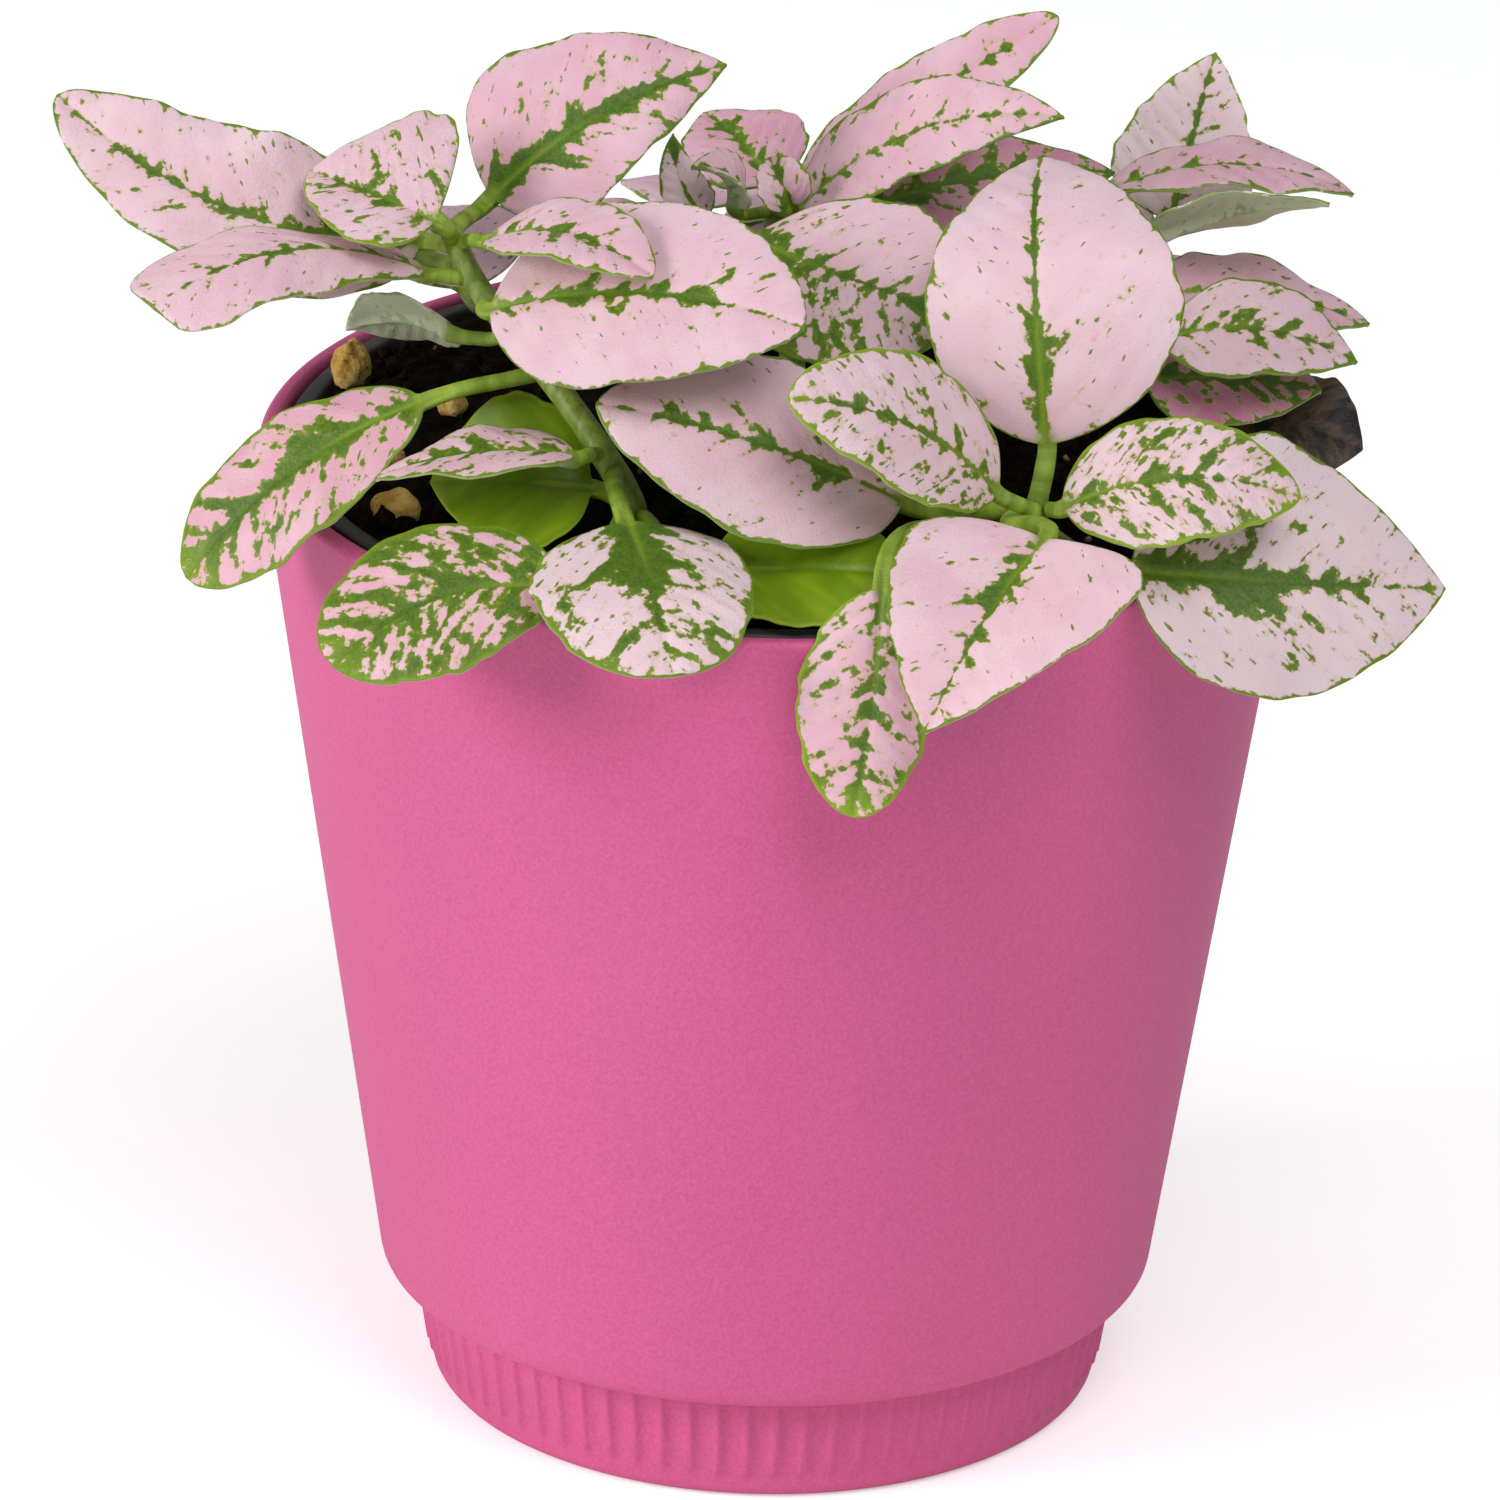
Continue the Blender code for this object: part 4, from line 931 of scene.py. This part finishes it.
def blade_net(name, leaf):
    """All points of a blade, and where each lies among the veins."""
    seed = (sum(map(ord, name)) * 7.31) % 90  # from the name, so it is the same in every run
    length = np.linalg.norm(np.subtract(leaf.tip, leaf.foot))
    ramp, x = np.linspace(0, 1, BLADE_ROWS), np.linspace(-1, 1, LEAF_COLUMNS)
    u = 0.5 * ramp + 0.25 * (1 - np.cos(np.pi * ramp))
    v = np.sign(x) * (0.3 * (1 - np.cos(np.pi * x)) + 0.4 * np.abs(x))
    U, V = np.meshgrid(u, v, indexing="ij")
    half = np.maximum(leaf_width(leaf, U), np.where(U > 0.5, TIP_HALF, FOOT_HALF))
    nibble = (COARSE_NIBBLE * np.sin(29 * U + seed + V)
              + FINE_NIBBLE * np.sin(53 * U + 2 * seed * np.sign(V)))
    reach = (half + nibble * smooth(half, 1, 5)) * (1 + leaf.skew * np.sign(V))
    beside = np.abs(reach * V)
    vein = U * length - VEIN_SLANT * beside - VEIN_BEND * beside**2
    spacing = VEIN_SHARE * length + VEIN_MORE
    rank = vein / spacing + 0.13 * np.sign(V) + seed % 1
    return Net(seed, length, u, U, V, reach, reach * V, beside, vein, spacing, rank)


print("points on one face of a blade:", blade_net("blade_a1", first_leaf).U.size)

# %% [markdown]
# ## Relief
# Between two side veins the blade swells a little, like a quilt. The midrib is a groove on
# top and a keel below, and both fade toward the tip. Each cut through the blade is a closed
# ring of points: over the upper face, round the edge, and back along the lower face.

# %% Relief and cuts of a blade
BLADE_MIDDLE, BLADE_EDGE = 0.55, 0.24
CREASE_SOFTNESS = 0.004
# depth all along, how much deeper at the foot (the keel's is in stalk thicknesses), and half
# width, in mm
GROOVE, GROOVE_MORE, GROOVE_HALF = 0.16, 0.25, 0.5
KEEL, KEEL_MORE, KEEL_HALF = 0.15, 1.5, 0.45


def hill(distance, width):
    """1 at no distance, falling softly to 0 over a width in mm."""
    return np.exp(-(distance / width) ** 2)


def blade_relief(leaf, net, quilting):
    """How high each point stands over the midrib: fold, curl, wave and quilt."""
    V, fade = net.V, smooth(net.beside, 0.2, 1.6) * (1 - net.V**6)
    fade = fade * np.sin(np.pi * np.clip(net.U, 0.02, 1)) ** 0.4
    quilt = quilting * (np.abs(np.sin(np.pi * net.rank)) ** 0.7 - 0.62) * fade
    crease = np.sqrt(V * V + CREASE_SOFTNESS) - math.sqrt(CREASE_SOFTNESS)
    ripple = np.sin(2 * np.pi * leaf.waves * net.U + V) * np.sin(np.pi * net.U)
    fold = crease * math.sin(math.radians(leaf.fold))
    return net.reach * (fold - leaf.curl * V * V) + leaf.wave * V * V * ripple + quilt


def stalk_thickness(leaf):
    """Radius of a leaf's stalk in mm: broad leaves hang on thicker ones."""
    return 0.5 + 0.02 * leaf.width


def blade_cuts(leaf, net, lift):
    """Sideways and upward places of the points round each cut of the blade."""
    thick = BLADE_EDGE + (BLADE_MIDDLE - BLADE_EDGE) * (1 - net.V**4)
    groove = GROOVE + GROOVE_MORE * (1 - smooth(net.U, 0, 0.3))
    groove = groove * hill(net.beside, GROOVE_HALF)
    stalk = stalk_thickness(leaf) * (1 - net.U)
    keel = stalk * KEEL_MORE * (1 - net.U) ** 0.6 + KEEL
    keel = keel * hill(net.beside, KEEL_HALF + stalk * 0.5)
    flat = net.across * math.cos(math.radians(leaf.fold))
    return (np.hstack([flat, flat[:, ::-1]]),
            np.hstack([lift + thick / 2 - groove, (lift - thick / 2 - keel)[:, ::-1]]))


def stalk_cuts(leaf, sideways, heights):
    """Round cuts of the stalk that turn into the blade's first cut."""
    t = np.linspace(0, 1, STALK_RINGS, endpoint=False)[:, None]
    turn = (np.arange(2 * LEAF_COLUMNS) + 0.5) * np.pi / LEAF_COLUMNS
    thin = stalk_thickness(leaf) * (1 + 0.12 * (1 - smooth(t, 0, 0.3)))
    hold = smooth(t, 0.55, 1.05)
    return (-np.cos(turn) * thin * (1 - hold) + sideways[0] * hold,
            np.sin(turn) * thin * (1 - hold) + heights[0] * hold)


print("blade thickness in mm:", BLADE_EDGE, "at the edge,", BLADE_MIDDLE, "at the midrib")

# %% [markdown]
# ## Joining the cuts
# Every cut has the same number of points, so bands of four-sided faces join them. Rows of
# faces close both ends, and stay flatter than one face with ninety corners would.

# %% Lofting
def placed(frames, sideways, upward):
    """Points in space from places in each cut."""
    middle, _forward, side, face = frames
    return middle[:, None] + side[:, None] * sideways[..., None] \
        + face[:, None] * upward[..., None]


def loft(name, cuts, finish):
    """Join cuts into one closed mesh."""
    rows, count = cuts.shape[:2]
    faces = bands(rows, count)
    for start, order in ((0, 1), ((rows - 1) * count, -1)):
        for k in range(LEAF_COLUMNS - 1):
            corners = [start + j for j in (k, k + 1, count - 2 - k, count - 1 - k)]
            faces.append(corners[::order])
    return mesh_object(name, cuts.reshape(-1, 3), faces, finish)


print("faces of one leaf:", (STALK_RINGS + BLADE_ROWS - 1) * 2 * LEAF_COLUMNS
      + 2 * (LEAF_COLUMNS - 1))

# %% [markdown]
# ## Where the green is
# How ready a point is to be green is a sum of soft hills: along the midrib, on some side
# veins, at the edge and in a few patches of the leaf's own. Which side vein is strong is
# left to a chance that stays the same in every run. `lime` is the yellower green of the
# tip, the edge and the foot of the midrib.

# %% Values for the flecks
# half widths in mm of the green on the midrib's line, on a side vein and at the edge
LINE_HALF, VEIN_HALF, EDGE_HALF = 0.28, 0.65, 0.30
VEIN_GREEN = 1.6


def chance(net, salt=0):
    """A number from 0 to 1 that stays the same for one side vein of one leaf."""
    mix = np.floor(net.rank + 0.5) * 12.9 + np.sign(net.V) * 7.7 + (net.seed + salt) * 3.1
    return np.sin(mix) * 43758.5 % 1


def green_places(leaf, look, net):
    """How ready each point is to be green, and how lime that green is."""
    near_vein = np.abs((net.rank + 0.5) % 1 - 0.5) * net.spacing
    strength, far = chance(net), chance(net, 3)
    from_edge = net.reach - net.beside
    rib_wide = (look.band + 0.8 * (1 - net.U)) * (1 + 1.6 * strength * hill(near_vein, 0.8))
    rib_fade = 1 - smooth(net.U, look.reach * 0.7, look.reach * 1.2)
    ready = (look.flecks - 0.12
             + look.near * np.exp(-net.beside / (0.13 * leaf.width)) * (0.3 + 0.7 * rib_fade)
             + look.rib * hill(net.beside, rib_wide) * (0.15 + 0.85 * rib_fade)
             + look.line * hill(net.beside, LINE_HALF)
             + look.veins * VEIN_GREEN * strength * hill(near_vein, VEIN_HALF)
             * np.exp(-net.beside / (leaf.width * (0.12 + 0.4 * far)))
             + look.edge * 1.2 * hill(from_edge, EDGE_HALF)
             + look.edge * 0.7 * far * hill(from_edge, 0.9) * hill(near_vein, 1.2))
    for place_u, place_v, long, wide, power in look.patches:
        side_v = place_v * float(leaf_width(leaf, place_u))
        off_vein = net.vein - (place_u * net.length - VEIN_SLANT * abs(side_v))
        ready += (power * hill(off_vein, wide) * hill(net.across - side_v, long)
                  * (0.6 + 0.8 * strength))
    lime = look.lime * np.maximum(smooth(net.U, 0.8, 1.0), hill(from_edge, 0.6))
    foot = 0.6 * hill(net.beside, 0.35) * (1 - smooth(net.U, 0.10, 0.55))
    return ready, np.maximum(lime, foot)


print("a vein's chance:", np.round(chance(blade_net("blade_a1", first_leaf))[0, 0], 3))

# %% [markdown]
# ## The leaves themselves
# Now every leaf is lofted and painted. The values on the blade are the same above and
# below, and the stalk's own stand before them. The vein directions are stored in mm, so
# that the finish can stretch its noise along a side vein.

# %% Making a leaf
def paint_leaf(piece, look, net, values, age_and_shade):
    """Store what the leaf's finish needs at each point."""
    ready, lime = values
    t = np.linspace(0, 1, STALK_RINGS, endpoint=False)[:, None]
    count = 2 * LEAF_COLUMNS

    def both(blade, before):
        """Values of the blade on both faces, with the stalk's before them."""
        doubled = np.hstack([blade, blade[:, ::-1]])
        return np.vstack([np.ones((STALK_RINGS, count)) * before, doubled]).ravel()

    even = np.zeros_like(net.U)
    stalk = 1 - smooth(net.U + net.beside * 0.04, 0.0, 0.10)
    lower = np.zeros((STALK_RINGS + BLADE_ROWS, count))
    lower[STALK_RINGS:, LEAF_COLUMNS:] = 1.0
    paint(piece.data, "leaf_green", "FLOAT", both(ready, 1.0))
    for name, parts in (
            ("vein_place", [both(net.vein + net.seed, -t * 9), both(net.across * 0.48, 0.0),
                            both(even + net.seed, net.seed)]),
            ("leaf_tint", [both(even + look.tone, 0.0), both(lime, 0.3), both(stalk, 1.0)]),
            ("leaf_side", [lower.ravel(), lower.ravel() * 0 + age_and_shade,
                           both(even + look.specks, 0.0)])):
        paint(piece.data, name, "FLOAT_VECTOR", np.stack(parts, -1))


def make_leaf(name, row, look, finish, age_and_shade=0.0, quilting=0.2):
    """Loft one leaf and store what its finish needs."""
    leaf, look = Leaf(*row), Look(*look)
    net = blade_net(name, leaf)
    sideways, upward = blade_cuts(leaf, net, blade_relief(leaf, net, quilting))
    stalk_sideways, stalk_upward = stalk_cuts(leaf, sideways, upward)
    cuts = np.vstack([placed(stalk_frames(leaf), stalk_sideways, stalk_upward),
                      placed(blade_frames(leaf, net.u), sideways, upward)])
    piece = loft(name, cuts, finish)
    paint_leaf(piece, look, net, green_places(leaf, look, net), age_and_shade)
    return piece


# d7 gets the dark brown of an old leaf, with painted shade in it
for name, row in LEAVES.items():
    piece = make_leaf("blade_" + name, row, LOOKS.get(name, PLAIN), leaf_finish,
                      1.0 if name == "d7" else 0.0)
    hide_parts("leaf_" + name)
print("leaves:", len(LEAVES), "faces each:", len(piece.data.polygons))

# %% [markdown]
# ## The seed leaves
# The first two leaves of a seedling are plain: round, green, smooth and a little glossy.
# They are lofted like the others, with a finish of their own.

# %% Seed leaves
seed_finish, start = new_finish("plain green seed leaf")
veined, margin = start.stored("leaf_green", "Fac"), start.stored("leaf_tint").part("Y")
soft, cells = start.stored("vein_place").grain(0.3), start.place().grain(2600, 1.0)
green = shades(soft, 0.3, 0.7, (108, 138, 8), (134, 164, 16))
green = (veined.slope(0.15, 0.8) * 0.45).tint(green, screen(92, 122, 4))
green = (margin.slope(0.1, 0.3) * 0.5).tint(green, screen(168, 186, 44))
surface(start, Base_Color=green, Roughness=0.32 + cells * 0.1, Normal=cells.bump(0.2, 0.0002))
for name, row in SEED_LEAVES.items():
    piece = make_leaf(name + "_blade", row, PLAIN, seed_finish,
                      quilting=0.03)
    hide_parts(name)
print("seed leaves:", len(SEED_LEAVES))

# %% [markdown]
# ## Floor and light
# The photograph is a studio picture on white, lit softly from the left. A pale floor meets
# a bright surrounding. A large lamp on the left gives the long soft shading across the pot,
# and one in front and above lights the tops of the leaves and the shadow side.

# %% Floor, lamps and surroundings
FLOOR_HALF = 2500.0

floor_finish, start = new_finish("pale floor")
seen = start.node("LightPath", out="Is Camera Ray")
surface(start, Base_Color=(0.90, 0.90, 0.90), Roughness=0.9,
        Emission_Color=seen.tint((0.0, 0.0, 0.0), (0.45, 0.45, 0.45)), Emission_Strength=1.0)
corners = [(x * FLOOR_HALF, y * FLOOR_HALF, 0)
           for x, y in ((-1, -1), (1, -1), (1, 1), (-1, 1))]
floor = mesh_object("floor", corners, [(0, 1, 2, 3)], floor_finish)


def lamp(name, place, aim, size, power, colour):
    """A soft square lamp that faces a point."""
    light = bpy.data.lights.new(name, "AREA")
    light.shape, light.size, light.energy, light.color = "SQUARE", size, power, colour
    made = bpy.data.objects.new(name, light)
    bpy.context.scene.collection.objects.link(made)
    place, aim = Vector(place), Vector(aim)
    made.matrix_world = (Matrix.Translation(place)
                         @ (aim - place).to_track_quat("-Z", "Y").to_matrix().to_4x4())


lamp("key lamp", (-1.10, -0.50, 0.60), (0.0, 0.0, 0.07), 0.6, 9.5, (1.0, 0.99, 0.97))
lamp("top lamp", (0.30, -0.70, 1.10), (0.0, 0.0, 0.10), 0.7, 7.0, (1.0, 1.0, 1.0))

world = bpy.data.worlds.new("surroundings")
bpy.context.scene.world = world
world.use_nodes = True
world.node_tree.nodes.clear()
start = Wire(world.node_tree)
seen = start.node("LightPath", out="Is Camera Ray")
start.node("OutputWorld", None, {"Surface": start.node(
    "Background", None, {"Color": seen.tint((0.29, 0.30, 0.31), (1.0, 1.0, 1.0)),
                         "Strength": 1.0}, "Background")})
bpy.context.scene.view_settings.view_transform = "Standard"

print("stage is set")

# %% [markdown]
